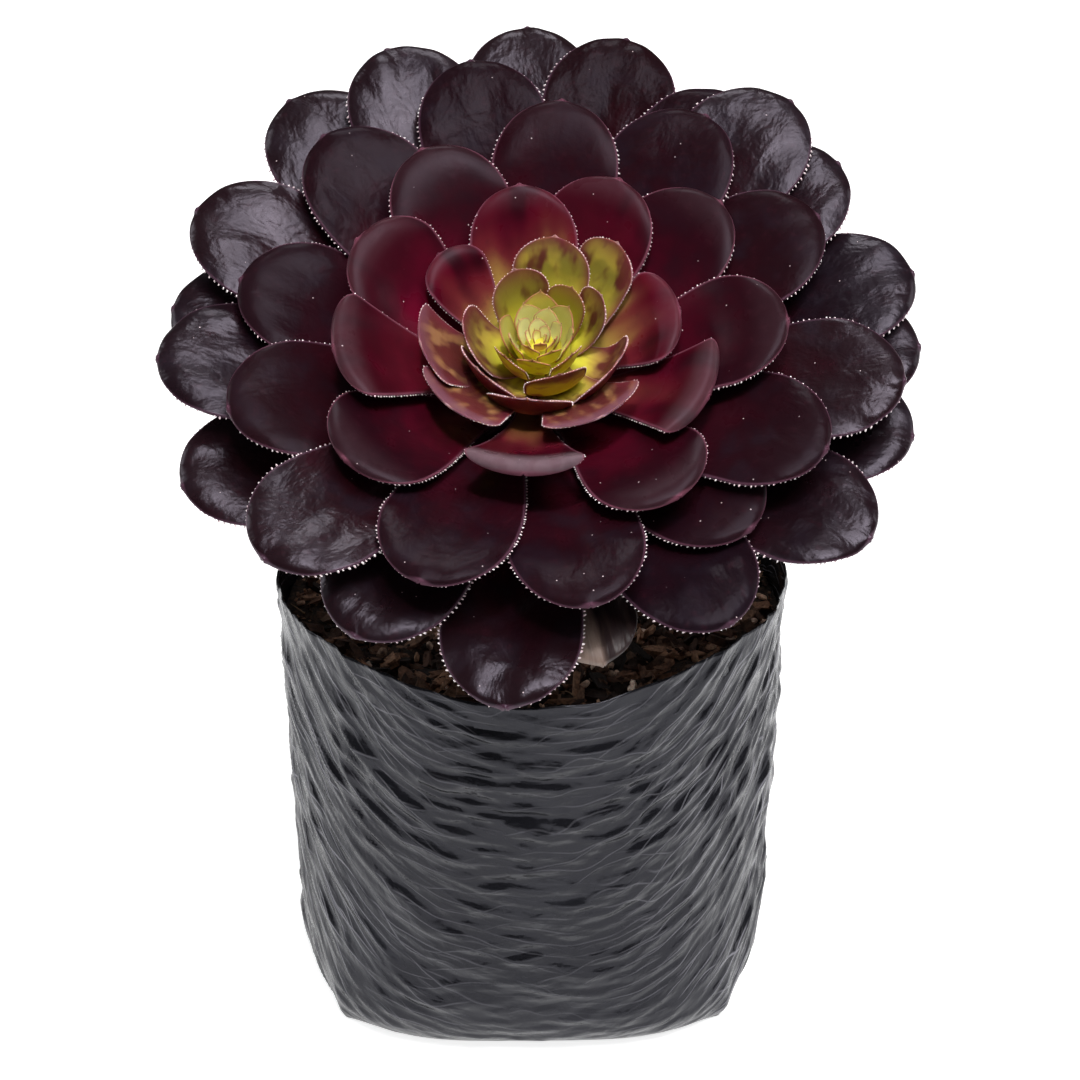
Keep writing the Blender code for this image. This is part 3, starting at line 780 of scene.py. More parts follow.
def floor_material(stage):
    """Pale floor that glows of itself as painted light: more round the plant, less where the bag's front
    mirrors it, and more again from the bag's foot backwards, over the shadows that the bag casts there.
    """
    g = Graph("pale_floor", 0.75)
    place = g.place()
    colour = g.mix(g.times(g.noise(place, 2.0, 2.0), 0.03), stage.floor_colour, (0.80, 0.80, 0.80))
    depth = g.node("SeparateXYZ", {0: place})[1]
    glow = g.minus(g.span(depth, -0.75, -0.22, 0.12, 1.0), g.span(depth, -0.20, -0.13, 0.0, 0.42))
    # Painted light: extra glow from the bag's foot backwards, over the shadows that the bag casts on the
    # floor.
    glow = g.plus(glow, g.span(depth, -0.105, -0.088, 0.0, 0.75))
    g.fill(g.shader, {"Emission Color": (1.0, 1.0, 1.0, 1.0),
                      "Emission Strength": g.times(glow, stage.floor_glow)})
    return g.finish(colour)


# Leaves.

def large_leaf_height(place):
    """Height over the distance from the rosette's axis, for a leaf's place up the stalk, 0 to 1."""
    root = between(LEAF_ROOTS, place)
    curl = LEAF_UPTURN * place ** 8 - LEAF_SAG

    def height(radius):
        out = radius - ROOT_RADIUS
        return root + LEAF_RISE * out + curl * out * out

    return height


def leaf_outline(height, root, reach, half, root_half, fan, growth, taper, grid):
    """Rows of a spoon-shaped leaf: distance out and half width, then a rounded end and a point.

    Fan runs from 0, a round end, to 1, a shallow end with marked corners. Growth says how the
    blade widens: 0 late and evenly like a fan, 1 early like a strap. The end is as long as the
    blade is wide, measured along the blade, however steeply it stands. Taper is near 2 for a
    round end and near 1 for a pointed one.
    """
    radius = np.linspace(root, reach, 200)
    rise = np.array([height(value) for value in radius])
    length = np.concatenate(([0.0], np.cumsum(np.hypot(np.diff(radius), np.diff(rise)))))
    end = min(END_LENGTH * half * (1.0 - 0.74 * fan), 0.5 * length[-1])
    neck = length[-1] - end
    rows, end_rows, _ = grid
    share = np.linspace(0.0, 1.0, rows)
    spoon = share * share * (3.0 - 2.0 * share)
    late = spoon * (1.0 - fan) + share ** 1.5 * fan
    swell = late * (1.0 - growth) + (1.0 - (1.0 - share) ** 1.9) * growth
    turn = np.linspace(0.0, 1.0, end_rows + 1)[1:]
    bow = np.sin(0.5 * math.pi * turn * 0.97)
    out = np.interp(np.concatenate((neck * share, neck + end * bow)), length, radius)
    point = POINT_LENGTH * (radius[-1] - radius[-2]) / (length[-1] - length[-2])
    round_end = half * np.power(1.0 - np.power(bow, taper + 0.5 * fan), 1.1 / taper)
    width = np.concatenate((root_half + (half - root_half) * swell, round_end, [0.12]))
    return np.append(out, reach + point), width


def rosette_matrix(shift):
    lean = Matrix.Rotation(math.radians(ROSETTE_TILT), 4, "X")
    return np.array(Matrix.Translation((shift, -ROSETTE_FORWARD, ROSETTE_HEIGHT)) @ lean)


def to_world(points, shift):
    """Points of the rosette's frame, shifted sideways, in the plant's frame."""
    matrix = rosette_matrix(shift)
    return points @ matrix[:3, :3].T + matrix[:3, 3]


def blade_points(direction, out, width, grid, height, reach, form, seed):
    """Middle surface of a blade in the rosette's frame, distance from the margin, way to the tip."""
    rows, _, columns = grid
    end_start = out[rows - 1]
    across = np.sin(0.5 * math.pi * np.linspace(1.0, -1.0, columns))
    out_grid, across_grid = np.meshgrid(out, across, indexing="ij")
    side = across_grid * width[:, None]
    end = np.clip((out_grid - end_start) / (reach - end_start), 0.0, 1.0)
    run = np.clip((out_grid - out[0]) / (reach - out[0]), 0.0, 1.0)
    angle = math.radians(direction) + side / out_grid
    rise = np.vectorize(height)(out_grid)
    rise = rise + form["trough"] * across_grid ** 2 * (1.0 - 2.0 * end)
    rise = rise - form["droop"] * end ** 2 - form["lip"] * end
    lip = np.maximum(np.abs(across_grid) ** 6 * smooth_step(0.35, 0.8, run), end ** 6)
    rise = rise - form["roll"] * lip + form["twist"] * side * run
    rise = rise - form["crease"] * np.exp(-(side / 2.6) ** 2) * (1.0 - 0.35 * end)
    if form["wrinkle"] > 0.0:
        for (i, k), x in np.ndenumerate(side):
            y = out_grid[i, k]
            fold = noise.noise(Vector((x / 7.0, y / 22.0, seed)))
            fold += 0.45 * noise.noise(Vector((x / 3.6, y / 8.0, seed + 5.0)))
            wave = noise.noise(Vector((seed, y / 9.0, math.copysign(3.0, x))))
            wave *= abs(across_grid[i, k]) ** 3
            rise[i, k] += form["wrinkle"] * (fold + 0.8 * wave) * min(1.0, run[i, k] * 3.0)
    points = np.stack((out_grid * np.cos(angle), out_grid * np.sin(angle), rise), axis=-1)
    to_side = (1.0 - np.abs(across_grid)) * width[:, None]
    to_end = np.maximum(0.0, reach - out_grid) * 1.25
    return points, np.minimum(to_side, to_end + 0.1), run


def blade_object(name, world, rim, run, age, seed, lip_sheen_share, thickness, edge_share, materials):
    """One leaf: a grid shaped to the blade, thickened, rounded and given its maps."""
    rows, columns = run.shape
    item, row, column = new_grid(name, columns, rows)
    set_points(item, world[row, column])
    mesh = item.data
    spine = world[:, columns // 2]
    steps = np.linalg.norm(np.diff(spine, axis=0), axis=1)
    along = np.concatenate(([0.0], np.cumsum(steps)))[:, None] * np.ones((1, columns))
    side = np.sign(np.arange(columns) - columns // 2)[None, :]
    sideways = np.linalg.norm(world - spine[:, None, :], axis=2) * side
    write_maps(mesh, {
        "place": (np.stack((sideways, along), axis=-1) / 100.0)[row, column],
        "kind": np.tile((age, seed), (rows * columns, 1)),
        "lip": np.full((rows * columns, 2), lip_sheen_share),
        "rim": np.stack((rim / 10.0, run), axis=-1)[row, column],
    })
    body = item.vertex_groups.new(name="body")
    share = edge_share + (1.0 - edge_share) * smooth_step(0.0, 6.0, rim)
    for index, value in enumerate(share[row, column]):
        body.add([index], float(value), "REPLACE")
    shell = item.modifiers.new("thickness", "SOLIDIFY")
    shell.thickness = thickness * MM
    shell.offset = 0.0
    shell.vertex_group = "body"
    shell.material_offset = 1
    rounding = item.modifiers.new("rounding", "SUBSURF")
    rounding.levels = rounding.render_levels = 1
    for material in materials:
        mesh.materials.append(material)
    select_only(item)
    for modifier in ("thickness", "rounding"):
        bpy.ops.object.modifier_apply(modifier=modifier)
    item.vertex_groups.clear()
    face_outwards(item)
    item.data.shade_smooth()
    return item


def margin_path(world, first_row):
    """The margin as a line up one side, round the tip and down the other, and its outward side."""
    path = np.concatenate((world[first_row:, 0], world[first_row:, -1][::-1]))
    inner = np.concatenate((world[first_row:, 1], world[first_row:, -2][::-1]))
    outward = path - inner
    spine = world[:, world.shape[1] // 2]
    tip = len(path) // 2
    outward[tip - 3:tip + 3] = spine[-1] - spine[-3]
    outward /= np.linalg.norm(outward, axis=1)[:, None] + 1e-9
    return path, outward


def hair_places(path, outward, spacing, length, draw):
    """Places for short hairs along a margin, leaning outwards."""
    step = np.linalg.norm(np.diff(path, axis=0), axis=1)
    along = np.concatenate(([0.0], np.cumsum(step)))
    places = []
    at = spacing * draw.random()
    while at < along[-1]:
        i = max(0, min(int(np.searchsorted(along, at)) - 1, len(step) - 1))
        share = (at - along[i]) / max(step[i], 1e-6)
        point = path[i] * (1.0 - share) + path[i + 1] * share
        out = outward[i] * (1.0 - share) + outward[i + 1] * share
        out = out + 0.35 * np.array([draw.uniform(-1, 1) for _ in range(3)])
        out /= np.linalg.norm(out)
        size = length * draw.uniform(0.6, 1.25)
        side = np.cross(out, (0.3, 0.2, 0.9))
        side /= np.linalg.norm(side)
        turn = np.stack((side, np.cross(out, side), out), axis=1) * size
        places.append((0, turn, point + out * 0.2 * size))
        at += spacing * draw.uniform(0.7, 1.3)
    return places


def hair_shape():
    """A blunt little hair: a stretched, waxy bead one unit long."""
    deselect_all()
    bpy.ops.mesh.primitive_ico_sphere_add(subdivisions=1, radius=0.5)
    edit_all((bpy.ops.transform.resize, {"value": (0.62, 0.62, 1.15)}))
    return prototype(bpy.context.active_object)


def add_hairs(item, places, shape, material):
    points, faces, _ = copies([shape], places)
    join(item, [mesh_object("hairs", points, faces, material)])


class AEONIUM_OT_large_leaves(bpy.types.Operator):
    """Makes the large leaves, each with its margin hairs"""
    bl_idname = "aeonium.large_leaves"
    bl_label = "Large leaves"
    bl_options = {"REGISTER", "UNDO"}

    def execute(self, context):
        leaves = context.scene.aeonium_leaves
        skins = [leaf_material(leaves, name, specular) for name, specular in LEAF_SKINS]
        back = leaf_back_material(leaves)
        dry = withered_material()
        hair = hair_material()
        shape = hair_shape()
        draw = random.Random(LEAF_SEED)
        for i, (_, reach) in enumerate(LARGE_LEAVES):
            ring = 0 if reach < FIRST_MIDDLE_REACH else 2
            if FIRST_MIDDLE_REACH <= reach < FIRST_OUTER_REACH or i in DULL:
                ring = 1
            if i == WITHERED:
                item, _, _ = self.leaf(leaves, i, "withered", (dry, dry), draw)
                finish_piece(item, "leaf_withered", "withered_leaf")
                continue
            name = "large_leaf_%02d" % (i + 1)
            item, world, age = self.leaf(leaves, i, name, (skins[ring], back), draw)
            path, outward = margin_path(world[:-1], 8)
            spacing = leaves.hair_spacing / MM * (0.75 + 0.35 * age)
            length = leaves.hair_length / MM * (0.48 + 0.59 * age)
            add_hairs(item, hair_places(path, outward, spacing, length, draw), shape, hair)
            finish_piece(item, "leaf_middle" if ring == 0 else "leaf_outer", "leaf_%02d" % (i + 1))
        return {"FINISHED"}

    def leaf(self, leaves, i, name, materials, draw):
        """One bare leaf, its middle surface and its age, from 0 next to the heart to 1."""
        direction, reach = LARGE_LEAVES[i]
        half = 0.5 * FULL_WIDTH * (1.0 - math.exp(-reach / WIDTH_GROWTH)) * NARROWED.get(i, 1.0) + 0.3
        tip = TIP_SHARE * reach
        age = min(1.0, max(0.0, (reach - YOUNGEST_REACH) / (OLDEST_REACH - YOUNGEST_REACH)))
        front = min(1.0, 0.7 - 0.7 * math.sin(math.radians(direction)))
        fan = front * min(1.0, max(0.0, (75.0 - reach) / 20.0))
        height = large_leaf_height(i / (len(LARGE_LEAVES) - 1))
        out, width = leaf_outline(
            height, ROOT_RADIUS, tip, half, 0.5 * ROOT_WIDTH, fan, 0.0, ROUND_TAPER, LEAF_GRID)
        seed = draw.uniform(0.0, 20.0)
        wrinkle = leaves.wrinkle_depth / MM * max(0.0, age - 0.45) / 0.55 * draw.uniform(0.5, 1.3)
        crease = draw.uniform(0.0, 1.1) * max(0.0, age - 0.4)
        wrinkle, crease = {CRUMPLED: (1.9, 1.6), WITHERED: (2.2, 2.5)}.get(i, (wrinkle, crease))
        form = {"trough": TROUGH, "droop": END_DROOP, "lip": 0.4 + 1.7 * (1.0 - age), "roll": 0.9,
                "crease": crease, "twist": draw.uniform(-0.06, 0.06) * age, "wrinkle": wrinkle}
        points, rim, run = blade_points(direction, out, width, LEAF_GRID, height, tip, form, seed)
        world = to_world(points, 0.0)
        thickness = leaves.thickness / MM * (0.6 if i == WITHERED else 0.75 + 0.25 * age)
        # Share of the painted sheen on the lip at the leaf's end.
        lip_sheen_share = 1.0 if i == LIP_SHEEN_LEAF else 0.3 * fan
        item = blade_object(name, world, rim, run, age, seed, lip_sheen_share, thickness, LEAF_EDGE, materials)
        return item, world, age


def heart_leaf_list():
    """The heart's inner leaves and then its bud, whose leaves wind in at the golden angle."""
    rows = list(HEART_LEAVES)
    for i in range(BUD_LEAVES):
        share = i / (BUD_LEAVES - 1)
        direction = BUD_FIRST_DIRECTION - GOLDEN_ANGLE * i
        behind = math.sin(math.radians(direction))
        reach = between(BUD_REACH, share) * (1.0 - 0.12 * behind)
        rows.append((direction, reach, between(BUD_WIDTH, share), 0.40 * (1.0 - share),
                     2.6 - 1.2 * behind))
    return rows


def core_radius(height):
    for (low_radius, low), (high_radius, high) in zip(CORE_PROFILE, CORE_PROFILE[1:]):
        if height <= high:
            return between((low_radius, high_radius), max(0.0, (height - low) / (high - low)))
    return CORE_PROFILE[-1][0]


def heart_leaf_height(root, reach, low, bend):
    """Height over the distance from the axis: flat at first, then up to the tip."""
    tip = HEART_TIP_HEIGHT * (1.0 - math.exp(-reach / HEART_TIP_GROWTH)) - 1.0
    tip += BUD_RISE * max(0.0, 1.0 - reach / BUD_REACH[0]) ** 0.7

    def height(radius):
        run = max(0.0, (radius - root) / (reach - root))
        return low + (tip - low) * (HEART_START_SLOPE * run + (1.0 - HEART_START_SLOPE) * run ** bend)

    return height


class AEONIUM_OT_heart(bpy.types.Operator):
    """Makes the heart: inner leaves and bud, grown together"""
    bl_idname = "aeonium.heart"
    bl_label = "Heart"
    bl_options = {"REGISTER", "UNDO"}

    def execute(self, context):
        leaves = context.scene.aeonium_leaves
        materials = heart_material(leaves), heart_back_material()
        hair = hair_material()
        shape = hair_shape()
        draw = random.Random(HEART_SEED)
        rows = heart_leaf_list()
        parts, places = [], []
        for i, row in enumerate(rows):
            item, world = self.leaf(leaves, row, i, i / (len(rows) - 1), materials, draw)
            parts.append(item)
            if row[1] > 12.0:
                path, outward = margin_path(world[:-1], 6)
                places += hair_places(path, outward, 1.1, 0.42, draw)
        core = self.core(materials[0])
        join(core, parts)
        add_hairs(core, places, shape, hair)
        finish_piece(core, "heart_green", "heart")
        return {"FINISHED"}

    def leaf(self, leaves, row, i, place, materials, draw):
        """One leaf of the heart and its middle surface; place runs from 0, the outermost, to 1."""
        direction, reach, width, age, bend = row
        in_bud = i >= len(HEART_LEAVES)
        low = between(HEART_ROOTS, place)
        root = min(max(core_radius(low) - 1.2, 0.9), (0.45 if in_bud else 0.6) * reach)
        height = heart_leaf_height(root, reach, low, bend)
        half = 0.5 * width
        fan, growth = (1.0, 0.0) if i < FANNED_HEART_LEAVES else (0.3, 0.8)
        taper = POINTED_TAPER if in_bud else ROUND_TAPER
        root_half = (0.5 + 0.3 * growth) * half
        out, wide = leaf_outline(
            height, root, reach, half, root_half, fan, growth, taper, HEART_GRID)
        seed = draw.uniform(0.0, 20.0)
        form = {"trough": 0.6 * age, "droop": 0.0, "lip": 0.9 * smooth_step(0.9, 0.97, age), "roll": 0.0,
                "crease": 0.0, "twist": draw.uniform(-0.05, 0.05), "wrinkle": 0.0}
        points, rim, run = blade_points(direction, out, wide, HEART_GRID, height, reach, form, seed)
        world = to_world(points, HEART_SHIFT)
        thickness = leaves.heart_thickness / MM * (0.55 + 0.45 * age)
        item = blade_object(
            "heart_leaf", world, rim, run, age, seed, 0.0, thickness, HEART_EDGE, materials)
        return item, world

    def core(self, skin):
        """The short core that the heart's leaves grow from."""
        sides = 32
        turns = FULL_TURN * np.arange(sides) / sides
        circle = np.stack((np.cos(turns), np.sin(turns), np.zeros(sides)), axis=1)
        rings = [circle * radius + (0.0, 0.0, height) for radius, height in CORE_PROFILE]
        points = to_world(np.concatenate(rings), HEART_SHIFT)
        item = mesh_object("heart_core", points, tube_faces(len(CORE_PROFILE), sides), skin)
        plain_map = np.tile((0.5, 0.1), (len(points), 1))
        write_maps(item.data, {name: plain_map for name in ("place", "kind", "lip", "rim")})
        return item


# Stalk.

class AEONIUM_OT_stalk(bpy.types.Operator):
    """Makes the woody stalk with its leaf scars"""
    bl_idname = "aeonium.stalk"
    bl_label = "Stalk"
    bl_options = {"REGISTER", "UNDO"}

    def execute(self, context):
        tilt = math.radians(ROSETTE_TILT)
        crown = Vector((0.0, -ROSETTE_FORWARD, ROSETTE_HEIGHT))
        down = Vector((0.0, math.sin(tilt), -math.cos(tilt)))
        knots = [Vector(p) for p in STALK_MIDDLE] + [crown + down * depth for depth in CROWN_DEPTHS]
        lengths = [0.0]
        for a, b in zip(knots, knots[1:]):
            lengths.append(lengths[-1] + (b - a).length)
        rings, sides = 90, 48
        points = []
        for ring in range(rings):
            at = lengths[-1] * ring / (rings - 1)
            k = max(j for j in range(len(lengths) - 1) if lengths[j] <= at + 1e-9)
            share = (at - lengths[k]) / (lengths[k + 1] - lengths[k])
            middle = knots[k].lerp(knots[k + 1], share)
            radius = STALK_RADII[k] * (1.0 - share) + STALK_RADII[k + 1] * share
            along = (knots[k + 1] - knots[max(k - 1, 0)]).normalized()
            side = Vector((1.0, 0.0, 0.0))
            up = along.cross(side)
            for corner in range(sides):
                turn = FULL_TURN * corner / sides
                scar = 0.35 * math.sin(at / 1.15 + 2.4 * math.sin(turn * 3.0 + at / 9.0))
                c, s = math.cos(turn), math.sin(turn)
                rough = 0.5 * noise.noise(Vector((c * 2.4, s * 2.4, at / 3.0)))
                reach = radius - 0.55 + scar + rough
                points.append(middle + (side * c + up * s) * reach)
        item = mesh_object("woody_stalk_piece", points, tube_faces(rings, sides), stalk_material())
        face_outwards(item)
        finish_piece(item, "woody_stalk", "stalk")
        return {"FINISHED"}


# Bag.

def bag_radius(angle, level):
    half = BAG_TOP_RADIUS - BAG_TAPER * (1.0 - level / BAG_HEIGHT)
    half -= BAG_FOOT_TUCK * math.exp(-level / BAG_FOOT_TUCK_HEIGHT)
    half += 0.5 * BAG_LEFT_FULLNESS * (1.0 - math.cos(angle))
    power = 2.0 + BAG_FOOT_SQUARENESS * math.exp(-level / BAG_SQUARE_HEIGHT)
    across = abs(math.cos(angle)) ** power + abs(math.sin(angle)) ** power
    return half / across ** (1.0 / power)


def pleat(along, across, slope, period, seed):
    """Rise of one family of long sharp pleats, and how far along the family a point lies."""
    sway = noise.noise(Vector((along / 30.0, across / 30.0, seed)))
    sway += 0.3 * noise.noise(Vector((along / 10.0, across / 16.0, seed + 4.0)))
    phase = (across + slope * along) / period + 0.9 * sway
    rise = 1.0 - abs(2.0 * (phase - math.floor(phase)) - 1.0)
    strength = 0.55 + 0.9 * noise.noise(Vector((along / 24.0, across / 9.0, seed + 8.0)))
    return rise * strength, phase


def film_relief(angle, level):
    """Outward relief of the crumpled film for a crinkle depth of one, and its pleats' phases."""
    sideways = abs(math.cos(angle))
    across = level - FOLD_SWEEP * sideways ** 3
    along = BAG_TOP_RADIUS * angle
    high = max(0.45 + 0.50 * math.exp(-((level - 96.0) / 26.0) ** 2), 0.9 * sideways ** 1.5)
    relief, phases = 0.0, []
    for slope, period, share, seed in PLEATS:
        rise, phase = pleat(along, across, slope, period, seed)
        relief += share * rise
        phases.append(phase)
    swell = noise.noise(Vector((along / 40.0, across / 13.0, 9.0)))
    return max(high * (relief - 0.8) + 0.6 * swell, DEEPEST_DENT), phases


def closed_relief(angle, level, run):
    """Relief and phases that meet themselves where the way round the bag, from 0 to 1, closes."""
    relief, phases = film_relief(angle, level)
    share = float(smooth_step(1.0 - CLOSING_SHARE, 1.0, run))
    if share > 0.0:
        first, others = film_relief(angle - FULL_TURN, level)
        relief += (first - relief) * share
        gaps = [other - phase for other, phase in zip(others, phases)]
        phases = [phase + (gap - round(gap)) * share for phase, gap in zip(phases, gaps)]
    return relief, phases


def foot_corner(angle, level):
    """Share by which the foot stands out at its four folded corners and is drawn in between them."""
    near = abs(abs(math.sin(angle)) - math.sin(math.radians(FOOT_CORNER)))
    fold = FOOT_CORNER_DEPTH * (math.exp(-near / FOOT_CORNER_WIDTH) - 0.8)
    return fold * math.exp(-level / FOOT_CORNER_HEIGHT)


class AEONIUM_OT_grow_bag(bpy.types.Operator):
    """Makes the crumpled film bag: underside, outer face, rim and inner face"""
    bl_idname = "aeonium.grow_bag"
    bl_label = "Grow bag"
    bl_options = {"REGISTER", "UNDO"}

    def execute(self, context):
        bag = context.scene.aeonium_bag
        wall, depth = bag.wall / MM, bag.crinkle_depth / MM
        sides, base_rows, outer_rows = 400, 8, 180
        # Levels and insets: up the outer face, over the rim and down the inner face.
        stations = [(BAG_HEIGHT * i / (outer_rows - 1.0), 0.0) for i in range(outer_rows)]
        stations += [(level, wall) for level in RIM_LEVELS] + INNER_STATIONS
        points = np.zeros((base_rows + len(stations) + 1, sides + 1, 3))
        phases = np.zeros(points.shape[:2] + (len(PLEATS),))
        for k in range(sides + 1):
            turn = 0.5 * math.pi + FULL_TURN * k / sides
            around = Vector((math.cos(turn), math.sin(turn), 0.0))
            wave = noise.noise(around * 5.0 + Vector((0.0, 0.0, 2.0)))
            dip = noise.noise(around * 6.0 + Vector((0.0, 0.0, 8.0)))
            rim_lift = BAG_RIM_WAVE * (1.0 - math.cos(4.0 * turn))
            for i, (level, inset) in enumerate(stations, base_rows):
                relief, phases[i, k] = closed_relief(turn, level, k / sides)
                frill = max(0.0, (level - FRILL_START) / (BAG_HEIGHT - FRILL_START))
                radius = bag_radius(turn, level) * (1.0 + foot_corner(turn, level)) - inset
                radius += relief * depth * min(1.0, level / 5.0) + 0.7 * frill * wave
                wave_share = max(0.0, (level - WAVE_START) / (BAG_HEIGHT - WAVE_START))
                lift = rim_lift * wave_share + 0.9 * frill * dip
                points[i, k] = (radius * around.x, radius * around.y, level + lift)
            for i in range(base_rows):
                points[i, k] = points[base_rows, k] * i / base_rows
            points[-1, k] = (0.0, 0.0, 3.0)
        points[:, -1] = points[:, 0]
        maps = {"pleats_1": phases[:, :, :2], "pleats_2": phases[:, :, 2:]}
        item = rolled_sheet("film_bag", points, film_material(bag), maps)
        finish_piece(item, "black_film", "grow_bag")
        return {"FINISHED"}


# Soil.

def soil_height(x, y):
    front = max(0.0, -y / BAG_TOP_RADIUS) ** 2
    lumps = math.sin(x / 6.1 + 1.0) * math.cos(y / 5.3) + 0.7 * math.sin(x / 3.7 - y / 4.9)
    return SOIL_TOP + SOIL_FRONT_RISE * front + SOIL_LUMP * lumps


class AEONIUM_OT_soil(bpy.types.Operator):
    """Makes the plug of soil with its crumbly top"""
    bl_idname = "aeonium.soil"
    bl_label = "Soil"
    bl_options = {"REGISTER", "UNDO"}

    def execute(self, context):
        sides, top_rings = 200, 60
        levels = (112.0, 100.0, 80.0, 60.0, 40.0, 20.0, 8.0, 1.4)
        points = np.zeros((top_rings + len(levels) + 1, sides + 1, 3))
        for k in range(sides + 1):
            turn = FULL_TURN * (k % sides) / sides
            rim = bag_radius(turn, FRILL_START) - RIM_GAP
            for i in range(top_rings):
                radius = rim * i / (top_rings - 1)
                x, y = radius * math.cos(turn), radius * math.sin(turn)
                rough = noise.noise(Vector((x / 2.4, y / 2.4, 3.0)))
                rough += 0.6 * noise.noise(Vector((x, y, 6.0)))
                dip = smooth_step(0.93, 1.0, i / (top_rings - 1))
                points[i, k] = (x, y, soil_height(x, y) - BED_DROP + 0.8 * rough - dip)
            for i, level in enumerate(levels, top_rings):
                radius = bag_radius(turn, level) - FILM_GAP
                points[i, k] = (radius * math.cos(turn), radius * math.sin(turn), level)
            points[-1, k] = (0.0, 0.0, levels[-1])
        finish_piece(rolled_sheet("soil_bed", points, soil_material()), "bark_soil", "soil")
        return {"FINISHED"}


def rough_lump(kind, seed):
    """A splinter, stone or crumb, one unit across, shaped from a primitive."""
    deselect_all()
    if kind == "bark":
        bpy.ops.mesh.primitive_cube_add(size=1.0)
        edit_all((bpy.ops.mesh.subdivide, {"number_cuts": 1}))
    else:
        bpy.ops.mesh.primitive_ico_sphere_add(subdivisions=2 if kind == "grit" else 1, radius=0.5)
    item = bpy.context.active_object
    for vertex in item.data.vertices:
        push = noise.noise_vector(vertex.co * 2.3 + Vector((seed, seed * 1.7, 0.0)))
        vertex.co += push * LUMP_ROUGHNESS[kind]
    return prototype(item)


def ground_point(draw, margin):
    """A point on the soil, at least a margin away from the film and the stalk."""
    while True:
        turn = draw.uniform(0.0, FULL_TURN)
        radius = (BAG_TOP_RADIUS - 2.0 - margin) * math.sqrt(draw.uniform(0.0, 1.0))
        x, y = radius * math.cos(turn), radius * math.sin(turn)
        if math.hypot(x, y - STALK_MIDDLE[1][1]) > STALK_RADII[0] + margin:
            return x, y


def tint_copies(item, counts, tints):
    """Gives each copy, of so many points, its own tint."""
    colours = np.concatenate([np.tile((*tint, 1.0), (count, 1)) for count, tint in zip(counts, tints)])
    layer = item.data.color_attributes.new(name="tint", type="FLOAT_COLOR", domain="POINT")
    layer.data.foreach_set("color", colours.astype(np.float32).ravel())


def scatter(draw, kind, count, sizes, tints, sink, margin, name, material):
    """Strews copies of a few lumps over the soil, each with its own size, turn and tint."""
    shapes = [rough_lump(kind, seed) for seed in range(1, LUMP_SHAPES + 1)]
    places, chosen = [], []
    for _ in range(count):
        size = [draw.uniform(*limits) for limits in sizes]
        x, y = ground_point(draw, margin + 0.5 * max(size))
        turn = Matrix.Rotation(draw.uniform(0.0, FULL_TURN), 3, "Z")
        roll = Matrix.Rotation(draw.gauss(0.0, LUMP_TILT), 3, "X")
        turn @= roll @ Matrix.Rotation(draw.gauss(0.0, LUMP_TILT), 3, "Y")
        turn @= Matrix.Diagonal(size)
        z = soil_height(x, y) - BED_DROP + size[2] * draw.uniform(*sink)
        places.append((draw.randrange(LUMP_SHAPES), turn, np.array((x, y, z))))
        shade = draw.uniform(0.4, 1.5)
        chosen.append(tuple(channel * shade for channel in draw.choice(tints)))
    points, faces, counts = copies(shapes, places)
    item = mesh_object(name, points, faces, material, smooth=kind != "crumb")
    tint_copies(item, counts, chosen)
    if kind == "bark":
        item.data.set_sharp_from_angle(angle=math.radians(42.0))
    finish_piece(item, "bark_soil")


class AEONIUM_OT_soil_cover(bpy.types.Operator):
    """Strews bark splinters, grit, crumbs and root threads over the soil"""
    bl_idname = "aeonium.soil_cover"
    bl_label = "Bark, grit and roots"
    bl_options = {"REGISTER", "UNDO"}

    def execute(self, context):
        soil = context.scene.aeonium_soil
        draw = random.Random(SOIL_SEED)
        noise.seed_set(SOIL_SEED)
        bark = tinted_material("bark_pieces", 0.85, 700.0, 0.0012)
        grit = tinted_material("pale_grit", 0.75, 900.0, 0.0006)
        scatter(draw, "bark", soil.bark_count, ((2.8, 12.0), (0.9, 3.6), (0.7, 2.4)), DARK_TINTS,
                (0.0, 1.1), 0.6, "bark_splinters", bark)
        scatter(draw, "grit", soil.grit_count, ((1.4, 4.2), (1.2, 3.4), (1.1, 2.8)), PALE_TINTS,
                (0.2, 0.7), 0.8, "grit_stones", grit)
        scatter(draw, "crumb", soil.crumb_count, ((0.5, 1.6), (0.5, 1.5), (0.4, 1.2)),
                DARK_TINTS + PALE_TINTS[3:], (0.0, 0.9), 0.3, "soil_crumbs", bark)
        self.threads(draw, soil.thread_count, bark)
        return {"FINISHED"}

    def threads(self, draw, count, material):
        """Thin roots and twigs: short bent tubes that lie on the soil."""
        points, faces, tints = [], [], []
        sides, knots = 5, 12
        for _ in range(count):
            length, radius = draw.uniform(6.0, 22.0), draw.uniform(0.12, 0.38)
            x, y = ground_point(draw, 0.5 * length)
            turn, bend = draw.uniform(0.0, FULL_TURN), draw.uniform(-0.16, 0.16)
            arch = draw.uniform(0.2, 2.0)
            faces += tube_faces(knots, sides, len(points))
            for i in range(knots):
                share = i / (knots - 1)
                turn += bend + draw.gauss(0.0, 0.07)
                x += math.cos(turn) * length / knots
                y += math.sin(turn) * length / knots
                z = soil_height(x, y) + 0.3 + arch * math.sin(math.pi * share)
                thin = radius * (1.0 - 0.6 * share)
                for k in range(sides):
                    off = thin * math.cos(FULL_TURN * k / sides)
                    up = thin * math.sin(FULL_TURN * k / sides)
                    points.append((x - math.sin(turn) * off, y + math.cos(turn) * off, z + up))
            tints.append(draw.choice(ROOT_TINTS))
        item = mesh_object("root_threads", points, faces, material)
        tint_copies(item, [knots * sides] * count, tints)
        face_outwards(item)
        finish_piece(item, "bark_soil")


# Stage.

